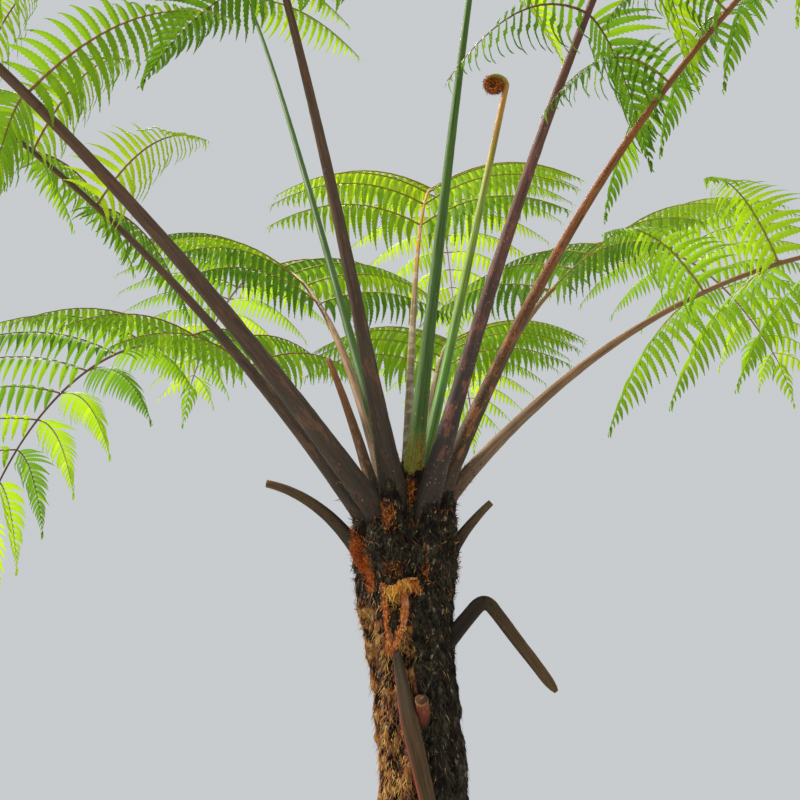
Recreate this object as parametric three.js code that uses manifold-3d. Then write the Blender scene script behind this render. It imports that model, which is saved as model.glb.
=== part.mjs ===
// Tree fern: a leaning trunk, thirteen arching fronds, one crozier, and the dead stalks below the crown.
// Millimetres, +Z up. The origin is the centre of the flat cut under the trunk, and the viewer stands at -Y.

import * as THREE from 'three';
import { mergeVertices } from 'three/addons/utils/BufferGeometryUtils.js';
import Module from 'manifold-3d';

const wasm = await Module();
wasm.setup();

const UP = new THREE.Vector3(0, 0, 1);
const { degToRad, lerp } = THREE.MathUtils;

// Clear space between two pieces that meet, and the least space between the leaves of two nodes.
const SEAT_GAP = 0.35;
const LEAF_GAP = 1.5;

// Points closer than this are one point.
const SAME_POINT = 1e-4;

const COLOURS = {
	bark: { color: 0x4a3320, roughness: 0.95, metalness: 0 },
	brownStalk: { color: 0x4b2f22, roughness: 0.7, metalness: 0 },
	rustStalk: { color: 0x8a4b25, roughness: 0.7, metalness: 0 },
	tanStalk: { color: 0x9a7646, roughness: 0.75, metalness: 0 },
	greenStalk: { color: 0x6f9a3c, roughness: 0.55, metalness: 0 },
	leaf: { color: 0x6fae24, roughness: 0.5, metalness: 0 },
	deadStalk: { color: 0x5c4331, roughness: 0.9, metalness: 0 },
	scales: { color: 0xb4571f, roughness: 0.85, metalness: 0 }
};

// The trunk: a shaft that thins upward, a flare of matted roots at the ground and a swollen, domed crown.
const TRUNK = {
	shaft: 60, thinning: 38, thinningHeight: 1400,
	flare: 48, flareHeight: 110,
	crownSwell: 21, crownHeight: 2080, crownDepth: 105,
	shoulder: 2105, dome: 56,
	lean: 85, leanHeight: 2100, leanPower: 1.3,
	fluting: 0.035, rootFluting: 0.1, rootHeight: 170,
	sides: 24, rings: 24, ringEase: 1.25, domeRings: 5
};

// The trunk's fluting: how many ribs go round it, how fast they wind upward and how strong they are.
const RIBS = [{ count: 5, twist: 190, share: 1 }, { count: 9, twist: -83, share: 0.6 }];
const ROOT_RIBS = { count: 7, turn: 0.8 };

// What the fronds of one whorl share, in millimetres and degrees. A lean is measured from the vertical.
// foot and rise place the stalk's foot on the crown, and bare is the length of stalk below the leaf.
const WHORLS = {
	outer: { foot: 74, rise: 2060, length: 2400, bare: 760, reach: 480, girth: 38, bend: 1.6 },
	middle: { foot: 68, rise: 2092, length: 2700, bare: 930, reach: 500, girth: 44, bend: 1.5 },
	inner: { foot: 40, rise: 2150, length: 2450, bare: 960, reach: 420, girth: 29, bend: 3 }
};

// The frond's arch turns its midline from lean to lean + arch, and sweep turns its azimuth on the way.
// roll turns its leaf about the midline. leave, lift and droop are its own values of those in LEAF.
const FRONDS = [
	{
		name: 'left_high', whorl: 'middle', azimuth: -136, lean: 50,
		arch: 62, rise: 2060, length: 2600, bare: 855, reach: 570,
		leave: 88, lift: 35, stalk: 'brownStalk'
	},
	{
		name: 'front_left', whorl: 'middle', azimuth: -113, lean: 28,
		arch: 58, foot: 62, rise: 2106, bare: 840, stalk: 'brownStalk'
	},
	{
		name: 'front_right', whorl: 'middle', azimuth: -58, lean: 30,
		arch: 64, rise: 2086, bare: 820, reach: 440,
		roll: 27, leave: 90, lift: 10, droop: 0.72, stalk: 'brownStalk'
	},
	{
		name: 'right_high', whorl: 'middle', azimuth: -33, lean: 29,
		arch: 98, rise: 2102, bare: 800, reach: 460, girth: 40,
		roll: 19, leave: 92, lift: 36, droop: 0.85, stalk: 'rustStalk'
	},
	{
		name: 'right_low', whorl: 'outer', azimuth: -9, lean: 42,
		arch: 126, sweep: 24, bend: 1.3, rise: 2105, length: 2300, bare: 590, girth: 33,
		roll: -16, leave: 105, lift: 35, stalk: 'tanStalk'
	},
	{
		name: 'back_right', whorl: 'middle', azimuth: 52, lean: 31,
		arch: 86, length: 2500, bare: 780, girth: 36, stalk: 'tanStalk'
	},
	{ name: 'back_low', whorl: 'outer', azimuth: 83, lean: 42, arch: 61, stalk: 'tanStalk' },
	{
		name: 'back_left', whorl: 'middle', azimuth: 112, lean: 31,
		arch: 84, length: 2500, bare: 780, girth: 36, stalk: 'tanStalk'
	},
	{
		name: 'left_low', whorl: 'outer', azimuth: 137, lean: 36,
		arch: 140, rise: 2062, length: 2100, bare: 560, girth: 32, roll: -10, stalk: 'brownStalk'
	},
	{
		name: 'left_mid', whorl: 'outer', azimuth: 192, lean: 38,
		arch: 72, length: 2500, bare: 740, reach: 550,
		leave: 92, lift: 38, stalk: 'brownStalk'
	},
	{
		name: 'left_young', whorl: 'inner', azimuth: 142, lean: 18,
		arch: 70, bend: 4, rise: 2165, length: 2600, bare: 1340, girth: 25, stalk: 'greenStalk'
	},
	{
		name: 'front_young', whorl: 'inner', azimuth: -63, lean: 14.5,
		arch: 60, foot: 32, girth: 34, stalk: 'greenStalk'
	},
	{
		name: 'back_young', whorl: 'inner', azimuth: 84, lean: 13,
		arch: 98, bend: 1.2, length: 2400, bare: 770, reach: 500, girth: 24, stalk: 'tanStalk'
	}
];

// How every frond is made: pinnae in pairs from the stalk's end to the tip, each a drooping blade
// with a ridge like a roof.
const LEAF = {
	spacing: 122, crowding: 0.3,
	footAngle: 78, tipAngle: 48, lift: 30, droop: 0.58,
	footShare: 0.8, tipShare: 0.22, widest: 0.42, tipFall: 1.7,
	fill: 0.8, roof: 0.16, thinness: 70, neck: 0.17,
	stations: [[0.3, 1], [0.68, 0.78], [1, 0]],
	firstPair: 0.15, endGap: 6, leastReach: 60, shorter: [1, 0.8, 0.6],
	tipRoot: 45, tipBlade: 0.28, tipWidth: 0.5
};

// A frond's midline: the steps it is walked in, and its girth along the leaf as shares of the stalk's.
const MIDLINE = {
	steps: 200, leafShare: 0.4, tipShare: 0.14, stalkSides: 6, stalkRings: 6, leafSides: 3, leafRings: 8
};

// A leaf whose midline turns by more than this many degrees is two nodes, split at this share of its length.
const SPLIT = { turn: 62, share: 0.46 };

// How far a stalk's foot starts inside the trunk, before the trunk cuts it.
const FOOT_SUNK = 45;

const CROZIER = {
	azimuth: 25, lean: 13, foot: 34, rise: 2150, length: 930, girth: 22, topGirth: 13,
	coilRadius: 29, coilThickness: 24, coilOut: -22, coilUp: -4, coilSides: 14, rimSteps: 3
};

// Dead and broken stalks that still stand on the trunk as tapering stubs.
const STUBS = [
	{
		name: 'dead_stub_left', azimuth: 181, lean: 32, arch: 46,
		foot: 66, rise: 1972, length: 255, girth: 29, tip: 13, stalk: 'deadStalk'
	},
	{
		name: 'dead_stub_right', azimuth: -4, lean: 34, arch: 14,
		foot: 66, rise: 1999, length: 122, girth: 21, tip: 11, stalk: 'deadStalk'
	},
	{
		name: 'broken_stalk_left', azimuth: 158, lean: 17, arch: 6,
		foot: 58, rise: 2105, length: 310, girth: 22, tip: 10, stalk: 'rustStalk'
	},
	{
		name: 'cut_stub_front', azimuth: -88, lean: 58, arch: 8,
		foot: 62, rise: 1722, length: 34, girth: 21, tip: 18, stalk: 'deadStalk'
	}
];

// The stalk that broke at a kink: one piece rises from the trunk, the other hangs from the kink.
const BROKEN = {
	azimuth: -14, rise: 1846, foot: 52, kinkOut: 122, kinkHeight: 1921, kinkGap: 2,
	tipOut: 236, tipHeight: 1762, girth: 25, tipGirth: 20, sides: 7
};

// The long dead stalk that hangs down the front of the trunk, turning round it as it falls. It starts thin,
// has its full girth at the share of its length called widening, and thins again to its end.
const HANGING = {
	top: 1822, bottom: 1240, topAzimuth: -115, bottomAzimuth: -42, bedded: 0.8,
	topGirth: 9, girth: 34, tipGirth: 18, widening: 0.28, sides: 6, rings: 9
};

// The wedge-shaped foot of an old frond on the front of the crown, covered in orange scales.
const OLD_FOOT = {
	top: 1945, bottom: 1830, topAzimuth: -107, bottomAzimuth: -126, topWidth: 56, bottomWidth: 18,
	topDepth: 17, bottomDepth: 7, sunk: 2, rings: 4, sides: 8
};

/** A closed skin over rings, each anticlockwise as seen from the far end. One point closes an end. */
class LoftGeometry extends THREE.BufferGeometry {
	constructor(rings) {
		super();
		const starts = rings.map((_, i) => rings.slice(0, i).reduce((sum, ring) => sum + ring.length, 0));
		const faces = [];
		for (let i = 0; i + 1 < rings.length; i++) {
			const [near, far] = [rings[i].length, rings[i + 1].length];
			for (let j = 0; j < Math.max(near, far); j++) {
				const a = starts[i] + (j % near);
				const b = starts[i] + ((j + 1) % near);
				const c = starts[i + 1] + ((j + 1) % far);
				const d = starts[i + 1] + (j % far);
				if (near > 1) faces.push(a, b, c);
				if (far > 1) faces.push(a, c, d);
			}
		}
		const last = rings.length - 1;
		for (let j = 1; j + 1 < rings[0].length; j++) faces.push(0, j + 1, j);
		const end = starts[last];
		for (let j = 1; j + 1 < rings[last].length; j++) faces.push(end, end + j, end + j + 1);
		const points = rings.flat().flatMap((point) => point.toArray());
		this.setAttribute('position', new THREE.Float32BufferAttribute(points, 3));
		this.setIndex(faces);
	}
}

/** Turns a closed geometry into a solid that can be joined and cut. */
function toSolid(geometry) {
	const bare = new THREE.BufferGeometry();
	bare.setAttribute('position', geometry.getAttribute('position'));
	bare.setIndex(geometry.getIndex());
	const merged = mergeVertices(bare, SAME_POINT);
	const mesh = new wasm.Mesh({
		numProp: 3,
		vertProperties: new Float32Array(merged.attributes.position.array),
		triVerts: new Uint32Array(merged.index.array)
	});
	return new wasm.Manifold(mesh);
}

/** Turns a solid back into a geometry with flat faces. */
function toGeometry(solid) {
	const { vertProperties, triVerts } = solid.getMesh();
	const geometry = new THREE.BufferGeometry();
	geometry.setAttribute('position', new THREE.Float32BufferAttribute(vertProperties, 3));
	geometry.setIndex([...triVerts]);
	return geometry;
}

/** The largest of the bodies that a cut leaves. */
function largestBody(solid) {
	return solid.decompose().sort((a, b) => b.volume() - a.volume())[0];
}

/** A ring of points round a centre, anticlockwise about the way across × upper. */
function roundRing(centre, across, upper, radius, sides) {
	return Array.from({ length: sides }, (_, k) => {
		const turn = (2 * Math.PI * k) / sides;
		const [x, y] = [radius * Math.cos(turn), radius * Math.sin(turn)];
		return centre.clone().addScaledVector(across, x).addScaledVector(upper, y);
	});
}

/** The unit vector that points outward at an azimuth. */
const outward = (azimuth) => new THREE.Vector3(Math.cos(degToRad(azimuth)), Math.sin(degToRad(azimuth)), 0);

/** The middle of the trunk at a height. */
function trunkAxis(z) {
	const share = Math.max(z, 0) / TRUNK.leanHeight;
	return new THREE.Vector3(-TRUNK.lean * share ** TRUNK.leanPower, 0, z);
}

/** The trunk's plain radius at a height, before its fluting. */
function trunkRadius(z) {
	const swell = TRUNK.crownSwell * Math.exp(-(((z - TRUNK.crownHeight) / TRUNK.crownDepth) ** 2));
	const shaft = TRUNK.shaft + TRUNK.thinning * Math.exp(-z / TRUNK.thinningHeight);
	return shaft + TRUNK.flare * Math.exp(-z / TRUNK.flareHeight) + swell;
}

/** The trunk's fluting at a height and an angle in radians, as a factor on its radius. */
function fluting(z, angle) {
	const wave = ({ count, twist, share }) => share * Math.sin(count * angle + z / twist);
	const ribs = RIBS.reduce((sum, rib) => sum + wave(rib), 0);
	const roots = Math.exp(-z / TRUNK.rootHeight) * Math.sin(ROOT_RIBS.count * angle + ROOT_RIBS.turn);
	return 1 + TRUNK.fluting * ribs + TRUNK.rootFluting * roots;
}

/** The trunk from its flat cut to the top of its dome, all of it larger by grow. */
function trunkSolid(grow = 0) {
	const shares = Array.from({ length: TRUNK.rings + 1 }, (_, i) => (i / TRUNK.rings) ** TRUNK.ringEase);
	const rings = shares.map((share) => trunkRing(TRUNK.shoulder * share, 1, grow));
	for (let i = 1; i < TRUNK.domeRings; i++) {
		const rise = Math.sin((Math.PI / 2) * (i / TRUNK.domeRings));
		rings.push(trunkRing(TRUNK.shoulder + (TRUNK.dome + grow) * rise, Math.sqrt(1 - rise * rise), grow));
	}
	rings.push([trunkAxis(TRUNK.shoulder + TRUNK.dome + grow)]);
	return toSolid(new LoftGeometry(rings));
}

/** One level ring of the trunk, drawn in to a share of its size and larger by grow. */
function trunkRing(z, share, grow) {
	const axis = trunkAxis(z);
	return Array.from({ length: TRUNK.sides }, (_, k) => {
		const angle = (2 * Math.PI * k) / TRUNK.sides;
		const radius = (trunkRadius(z) * fluting(z, angle) + grow) * share;
		return new THREE.Vector3(axis.x + radius * Math.cos(angle), radius * Math.sin(angle), z);
	});
}

/** A direction turned by an angle towards another that is square to it. */
function turned(from, to, angle) {
	return from.clone().multiplyScalar(Math.cos(degToRad(angle))).addScaledVector(to, Math.sin(degToRad(angle)));
}

/** A point on a frond's midline: where it is, the way it runs, the way across its leaf and its upper side. */
function midlineFrame(point, azimuth, lean, roll) {
	const side = outward(azimuth);
	const ahead = turned(UP, side, lean);
	const level = UP.clone().cross(side);
	const top = ahead.clone().cross(level);
	return { point, ahead, across: turned(level, top, roll), upper: turned(top, level, -roll) };
}

/** The arch of a frond or stub, walked in small steps. */
class Midline {
	constructor({ azimuth, lean, arch = 0, sweep = 0, bend = 1.5, roll = 0, foot, rise, length }) {
		Object.assign(this, { azimuth, lean, roll, length });
		const step = length / MIDLINE.steps;
		const start = outward(azimuth).multiplyScalar(foot).add(trunkAxis(rise));
		this.frames = [midlineFrame(start, azimuth, lean, roll)];
		for (let i = 0; i < MIDLINE.steps; i++) {
			const share = (i + 0.5) / MIDLINE.steps;
			const frame = midlineFrame(null, azimuth + sweep * share, lean + arch * share ** bend, roll);
			frame.point = this.frames[i].point.clone().addScaledVector(frame.ahead, step);
			this.frames.push(frame);
		}
	}

	/** The frame at a distance from the foot, or before it on the same line. */
	at(along) {
		const place = (along / this.length) * MIDLINE.steps;
		if (place <= 0) {
			const { point, ahead, across, upper } = this.frames[0];
			return { point: point.clone().addScaledVector(ahead, along), ahead, across, upper };
		}
		const i = Math.min(Math.floor(place), MIDLINE.steps - 1);
		const [a, b] = [this.frames[i], this.frames[i + 1]];
		const mix = (key) => a[key].clone().lerp(b[key], place - i);
		const way = (key) => mix(key).normalize();
		return { point: mix('point'), ahead: way('ahead'), across: way('across'), upper: way('upper') };
	}
}

/** A tapering rod along a midline, between two distances from its foot. */
function rodSolid(midline, from, to, radiusAt, sides, rings, grow = 0) {
	const loops = Array.from({ length: rings + 1 }, (_, i) => {
		const along = lerp(from, to, i / rings);
		const { point, across, upper } = midline.at(along);
		return roundRing(point, across, upper, radiusAt(along) + grow, sides);
	});
	return toSolid(new LoftGeometry(loops));
}

/** The ring of a pinna at a share of its length: two low edges and a ridge, or its pointed end. */
function pinnaRing({ root, axis, width, droop }, side, heading, reach, [share, wide]) {
	const sag = droop * reach * share ** 2;
	const ridge = root.clone().addScaledVector(heading, reach * share).addScaledVector(UP, -sag);
	if (wide === 0) return [ridge];
	const way = heading.clone().addScaledVector(UP, -2 * droop * share).multiplyScalar(side).normalize();
	const across = axis.clone().addScaledVector(way, -axis.dot(way)).normalize();
	const upper = across.clone().cross(way);
	const fall = Math.max(LEAF.roof * width * wide, reach / LEAF.thinness);
	const foot = ridge.clone().addScaledVector(upper, -fall);
	const edge = (sign) => foot.clone().addScaledVector(across, (sign * width * wide) / 2);
	return [edge(-1), ridge, edge(1)];
}

/** A pair of pinnae as one roof-shaped blade across the midline. A reach of 0 leaves a side out. */
function pairSolid(pair, leftReach, rightReach) {
	const root = pinnaRing(pair, 1, pair.across, Math.max(leftReach, rightReach), [0, LEAF.neck]);
	const [leftWay, rightWay] = pair.headings;
	const bladeRings = (side, way, reach) => LEAF.stations
		.map((place) => pinnaRing(pair, side, way, reach, place));
	const left = leftReach ? bladeRings(-1, leftWay, leftReach) : [];
	const right = rightReach ? bladeRings(1, rightWay, rightReach) : [];
	return toSolid(new LoftGeometry([...left.reverse(), root, ...right]));
}

/** Length of a pinna as a share of the longest, at a share of the way along the leaf. */
function pinnaShare(share) {
	const { footShare, tipShare, widest, tipFall } = LEAF;
	const rising = footShare + (1 - footShare) * Math.sin((Math.PI / 2) * Math.min(share / widest, 1));
	const falling = 1 - (1 - tipShare) * Math.max((share - widest) / (1 - widest), 0) ** tipFall;
	return rising * falling;
}

/** Where the pairs of pinnae stand on a frond, from the end of the bare stalk to the tip. */
function pinnaPairs(frond, midline) {
	const leafLength = frond.length - frond.bare;
	const count = Math.round(leafLength / LEAF.spacing);
	const lift = degToRad(frond.lift ?? LEAF.lift);
	return Array.from({ length: count }, (_, i) => {
		const even = (i + LEAF.firstPair) / count;
		const share = even * (1 + LEAF.crowding * (1 - even));
		const spacing = (leafLength / count) * (1 + LEAF.crowding * (1 - 2 * even));
		const along = frond.bare + leafLength * share;
		const { point, ahead, across, upper } = midline.at(along);
		const leave = degToRad(lerp(frond.leave ?? LEAF.footAngle, LEAF.tipAngle, share ** 2));
		const headings = [-1, 1].map((side) => ahead.clone().multiplyScalar(Math.cos(leave))
			.addScaledVector(across, side * Math.cos(lift) * Math.sin(leave))
			.addScaledVector(upper, Math.sin(lift) * Math.sin(leave)));
		const reach = frond.reach * pinnaShare(share);
		const width = LEAF.fill * spacing;
		const droop = frond.droop ?? LEAF.droop;
		return { place: along, root: point, axis: ahead, across, headings, reach, width, droop };
	});
}

/** The solids placed so far, each with its box, for the tests that keep nodes apart. */
class Neighbours {
	constructor() {
		this.pieces = [];
	}

	add(node, solid) {
		const { min, max } = solid.boundingBox();
		const box = new THREE.Box3(new THREE.Vector3(...min), new THREE.Vector3(...max));
		this.pieces.push({ node, solid, box });
	}

	/** Whether a solid keeps its distance from every piece of other nodes. */
	clearOf(node, solid, gap) {
		const { min, max } = solid.boundingBox();
		const box = new THREE.Box3(new THREE.Vector3(...min), new THREE.Vector3(...max)).expandByScalar(gap);
		const near = this.pieces.filter((piece) => piece.node !== node && piece.box.intersectsBox(box));
		return near.every((piece) => solid.minGap(piece.solid, 2 * gap) >= gap);
	}
}

const fern = new THREE.Group();
fern.name = 'tree_fern';

function addPiece(name, solid, look) {
	const material = new THREE.MeshStandardMaterial({ ...look, flatShading: true });
	const mesh = new THREE.Mesh(toGeometry(solid), material);
	mesh.name = name;
	fern.add(mesh);
}

const neighbours = new Neighbours();

// The trunk and the stalks a little larger than they are, to cut their neighbours clear of them.
const grownTrunk = trunkSolid(SEAT_GAP);
const grownStalks = [];

function buildTrunk() {
	const trunk = trunkSolid();
	neighbours.add('trunk', trunk);
	addPiece('trunk', trunk, COLOURS.bark);
}

/** A stalk whose foot is cut back to the trunk and to the stalks that already stand beside it. */
function buildStalk(name, midline, to, radiusAt, look) {
	const { stalkSides, stalkRings } = MIDLINE;
	const whole = rodSolid(midline, -FOOT_SUNK, to, radiusAt, stalkSides, stalkRings);
	const cutters = [grownTrunk, ...grownStalks];
	const stalk = largestBody(cutters.reduce((rest, cutter) => rest.subtract(cutter), whole));
	const grow = 2 * SEAT_GAP;
	grownStalks.push(rodSolid(midline, -FOOT_SUNK, to + grow, radiusAt, stalkSides, stalkRings, grow));
	neighbours.add(name, stalk);
	addPiece(name, stalk, look);
}

/** Radius of a frond's midline at a distance from its foot. */
function frondRadius(frond, along) {
	const { leafShare, tipShare } = MIDLINE;
	const below = lerp(1, leafShare, Math.max(along, 0) / frond.bare);
	const above = lerp(leafShare, tipShare, (along - frond.bare) / (frond.length - frond.bare));
	return (frond.girth / 2) * (along < frond.bare ? below : above);
}

/** The single blade that ends a frond. */
function tipSolid(frond, midline) {
	const { point, ahead, across } = midline.at(frond.length - LEAF.tipRoot);
	const reach = frond.reach * LEAF.tipBlade;
	const axis = across.clone().negate();
	const width = reach * LEAF.tipWidth;
	const { droop } = LEAF;
	return pairSolid({ root: point, axis, across: ahead, headings: [ahead, ahead], width, droop }, 0, reach);
}

/** A leafy part of a frond between two distances from its foot, with its midline as a solid rib. */
function leafPart(name, frond, midline, from, to) {
	const rings = Math.max(2, Math.round((MIDLINE.leafRings * (to - from)) / (frond.length - frond.bare)));
	const rib = rodSolid(midline, from, to, (along) => frondRadius(frond, along), MIDLINE.leafSides, rings);
	return { name, frond, midline, from, to, rib };
}

/** The leafy parts of a frond: one, or two where its midline turns far. */
function leafParts(frond, midline) {
	const start = frond.bare + SEAT_GAP / 2;
	const turn = frond.arch * (1 - (frond.bare / frond.length) ** frond.bend);
	if (turn < SPLIT.turn) return [leafPart(`${frond.name}_leaf`, frond, midline, start, frond.length)];
	const middle = lerp(frond.bare, frond.length, SPLIT.share);
	return [
		leafPart(`${frond.name}_leaf`, frond, midline, start, middle - SEAT_GAP / 2),
		leafPart(`${frond.name}_leaf_tip`, frond, midline, middle + SEAT_GAP / 2, frond.length)
	];
}

/** Joins a leafy part's rib to each of its pinnae that clears the other nodes. */
function buildLeaf({ name, frond, midline, from, to, rib }) {
	const isClear = (blade) => neighbours.clearOf(name, blade, LEAF_GAP);
	const clearReach = (pair, bladeOf) => LEAF.shorter.map((share) => pair.reach * share)
		.find((reach) => reach > LEAF.leastReach && isClear(bladeOf(reach))) ?? 0;
	const blades = pinnaPairs(frond, midline)
		.filter((pair) => pair.place > from + LEAF.endGap && pair.place < to - LEAF.endGap)
		.map((pair) => [
			pair,
			clearReach(pair, (reach) => pairSolid(pair, reach, 0)),
			clearReach(pair, (reach) => pairSolid(pair, 0, reach))
		])
		.filter(([, left, right]) => left + right > 0)
		.map(([pair, left, right]) => pairSolid(pair, left, right));
	if (to === frond.length) blades.push(tipSolid(frond, midline));
	const leaf = wasm.Manifold.union([rib, ...blades]);
	for (const blade of blades) neighbours.add(name, blade);
	addPiece(name, largestBody(leaf), COLOURS.leaf);
}

function buildFronds() {
	const whole = FRONDS.map((frond) => ({ ...WHORLS[frond.whorl], ...frond }));
	const lines = whole.map((frond) => new Midline(frond));
	whole.forEach((frond, i) => {
		const radiusAt = (along) => frondRadius(frond, along);
		buildStalk(`${frond.name}_stalk`, lines[i], frond.bare - SEAT_GAP / 2, radiusAt, COLOURS[frond.stalk]);
	});
	buildCrozier();
	const leaves = whole.flatMap((frond, i) => leafParts(frond, lines[i]));
	for (const { name, rib } of leaves) neighbours.add(name, rib);
	leaves.forEach(buildLeaf);
}

/** The young frond that is still rolled up: a thin stalk and, on its top, a coil as one thick round piece. */
function buildCrozier() {
	const midline = new Midline(CROZIER);
	const { length, girth, topGirth, coilRadius, coilThickness, coilOut, coilUp, coilSides, rimSteps } = CROZIER;
	const radiusAt = (along) => lerp(girth, topGirth, Math.max(along, 0) / length) / 2;
	buildStalk('crozier_stalk', midline, length, radiusAt, COLOURS.greenStalk);
	const half = coilThickness / 2;
	const rim = new THREE.Path();
	rim.moveTo(0, -half);
	rim.lineTo(coilRadius - half, -half);
	rim.absarc(coilRadius - half, 0, half, -Math.PI / 2, Math.PI / 2, false);
	rim.lineTo(0, half);
	const isNew = (point, i, all) => i === 0 || point.distanceTo(all[i - 1]) > SAME_POINT;
	const coil = new THREE.LatheGeometry(rim.getPoints(rimSteps).filter(isNew), coilSides);
	coil.translate(...midline.at(length).point.clone().add(new THREE.Vector3(coilOut, 0, coilUp)));
	const solid = largestBody(toSolid(coil).subtract(grownStalks.at(-1)));
	neighbours.add('crozier_coil', solid);
	addPiece('crozier_coil', solid, COLOURS.scales);
}

function buildStubs() {
	for (const stub of STUBS) {
		const radiusAt = (along) => lerp(stub.girth, stub.tip, Math.max(along, 0) / stub.length) / 2;
		buildStalk(stub.name, new Midline(stub), stub.length, radiusAt, COLOURS[stub.stalk]);
	}
}

/** A straight tapering rod between two points. */
function strutSolid(from, to, fromRadius, toRadius, sides) {
	const ahead = to.clone().sub(from).normalize();
	const across = ahead.clone().cross(outward(BROKEN.azimuth + 90)).normalize();
	const upper = ahead.clone().cross(across);
	return toSolid(new LoftGeometry([
		roundRing(from, across, upper, fromRadius, sides),
		roundRing(to, across, upper, toRadius, sides)
	]));
}

function buildBrokenStalk() {
	const { azimuth, rise, foot, girth, tipGirth, sides } = BROKEN;
	const { kinkOut, kinkHeight, kinkGap, tipOut, tipHeight } = BROKEN;
	const axis = trunkAxis(rise);
	const place = (out, z) => outward(azimuth).multiplyScalar(out).add(new THREE.Vector3(axis.x, 0, z));
	const [base, kink, tip] = [place(foot, rise), place(kinkOut, kinkHeight), place(tipOut, tipHeight)];
	const standing = strutSolid(base, kink, girth / 2, girth / 2, sides);
	const grownKink = kink.clone().addScaledVector(kink.clone().sub(base).normalize(), SEAT_GAP);
	const grown = strutSolid(base, grownKink, girth / 2 + SEAT_GAP, girth / 2 + SEAT_GAP, sides);
	const hangingWay = tip.clone().sub(kink).normalize();
	const hangingTop = kink.clone().addScaledVector(hangingWay, kinkGap);
	const hanging = strutSolid(hangingTop, tip, girth / 2, tipGirth / 2, sides).subtract(grown);
	addPiece('broken_stalk_standing', largestBody(standing.subtract(grownTrunk)), COLOURS.deadStalk);
	addPiece('broken_stalk_hanging', largestBody(hanging), COLOURS.deadStalk);
}

/** A frame on the trunk's front: level tangent and outward normal at a height and an azimuth. */
function trunkFrame(z, azimuth) {
	const out = outward(azimuth);
	return { axis: trunkAxis(z), out, level: UP.clone().cross(out) };
}

function buildHangingStalk() {
	const { top, bottom, topAzimuth, bottomAzimuth, bedded, sides, rings } = HANGING;
	const { topGirth, girth, tipGirth, widening } = HANGING;
	const loops = Array.from({ length: rings + 1 }, (_, i) => {
		const share = i / rings;
		const z = lerp(top, bottom, share);
		const azimuth = lerp(topAzimuth, bottomAzimuth, share);
		const radius = Math.min(lerp(topGirth, girth, share / widening), lerp(girth, tipGirth, share)) / 2;
		const { axis, out, level } = trunkFrame(z, azimuth);
		const surface = trunkRadius(z) * fluting(z, degToRad(azimuth));
		const centre = axis.addScaledVector(out, surface + radius * bedded);
		return roundRing(centre, out, level.clone().negate(), radius, sides);
	});
	const whole = toSolid(new LoftGeometry(loops));
	const clear = whole.subtract(grownTrunk).subtract(grownStalks.at(-1));
	addPiece('hanging_dead_stalk', largestBody(clear), COLOURS.deadStalk);
}

function buildOldFoot() {
	const { top, bottom, topAzimuth, bottomAzimuth, rings, sides } = OLD_FOOT;
	const { topWidth, bottomWidth, topDepth, bottomDepth, sunk } = OLD_FOOT;
	const loops = Array.from({ length: rings + 1 }, (_, i) => {
		const share = i / rings;
		const z = lerp(top, bottom, share);
		const { axis, out, level } = trunkFrame(z, lerp(topAzimuth, bottomAzimuth, share));
		const centre = axis.addScaledVector(out, trunkRadius(z) - sunk);
		const [halfWidth, depth] = [lerp(topWidth, bottomWidth, share) / 2, lerp(topDepth, bottomDepth, share)];
		return Array.from({ length: sides }, (_, k) => {
			const turn = (2 * Math.PI * k) / sides;
			const [x, y] = [depth * Math.cos(turn), -halfWidth * Math.sin(turn)];
			return centre.clone().addScaledVector(out, x).addScaledVector(level, y);
		});
	});
	const whole = toSolid(new LoftGeometry(loops));
	addPiece('old_frond_foot', largestBody(whole.subtract(grownTrunk)), COLOURS.scales);
}

buildTrunk();
buildFronds();
buildStubs();
buildBrokenStalk();
buildHangingStalk();
buildOldFoot();

export default fern;
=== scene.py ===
"""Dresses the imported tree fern: bark, stalks, fine fronds, scales and dead stalks over the fixed frame.

Sizes are metres and degrees in the frame's own axes: +Z is up and the viewer stands at -Y. A lean is
measured from the vertical. The trunk, the midlines and the pinnae follow the rules of the part's source.
"""

import logging
import math
from dataclasses import dataclass, field
from enum import Enum
from typing import Callable

import bpy
import numpy as np
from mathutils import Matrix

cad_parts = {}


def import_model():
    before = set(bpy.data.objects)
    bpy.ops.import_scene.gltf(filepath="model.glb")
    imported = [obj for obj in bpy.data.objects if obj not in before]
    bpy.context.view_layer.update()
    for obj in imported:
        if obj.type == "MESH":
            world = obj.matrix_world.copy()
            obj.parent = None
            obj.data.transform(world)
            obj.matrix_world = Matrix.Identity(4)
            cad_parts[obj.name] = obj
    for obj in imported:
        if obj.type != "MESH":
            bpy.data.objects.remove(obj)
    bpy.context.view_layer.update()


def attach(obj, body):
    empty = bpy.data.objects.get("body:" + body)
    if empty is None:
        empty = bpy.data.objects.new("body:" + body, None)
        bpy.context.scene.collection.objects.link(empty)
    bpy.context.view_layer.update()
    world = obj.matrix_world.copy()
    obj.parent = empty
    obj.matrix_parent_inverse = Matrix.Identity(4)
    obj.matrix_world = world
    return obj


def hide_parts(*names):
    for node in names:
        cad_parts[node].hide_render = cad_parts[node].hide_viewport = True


LOG = logging.getLogger("tree_fern")
Array = np.ndarray
Pair = tuple[float, float]
Colour = tuple[float, float, float]
Draws = np.random.Generator
Material = bpy.types.Material

UP = np.array([0.0, 0.0, 1.0])
DOWN = -UP
HASH_FACTORS = (73856093, 19349663, 83492791)
HASH_SEED_FACTOR = 49979687
HASH_MIX = 1274126177
HASH_SHIFTS = (13, 16)
HASH_MASK = 0xFFFF


def unit(vectors: Array) -> Array:
    """Scales vectors to length 1 along their last axis."""
    return vectors / np.maximum(np.linalg.norm(vectors, axis=-1, keepdims=True), 1e-12)


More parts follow.
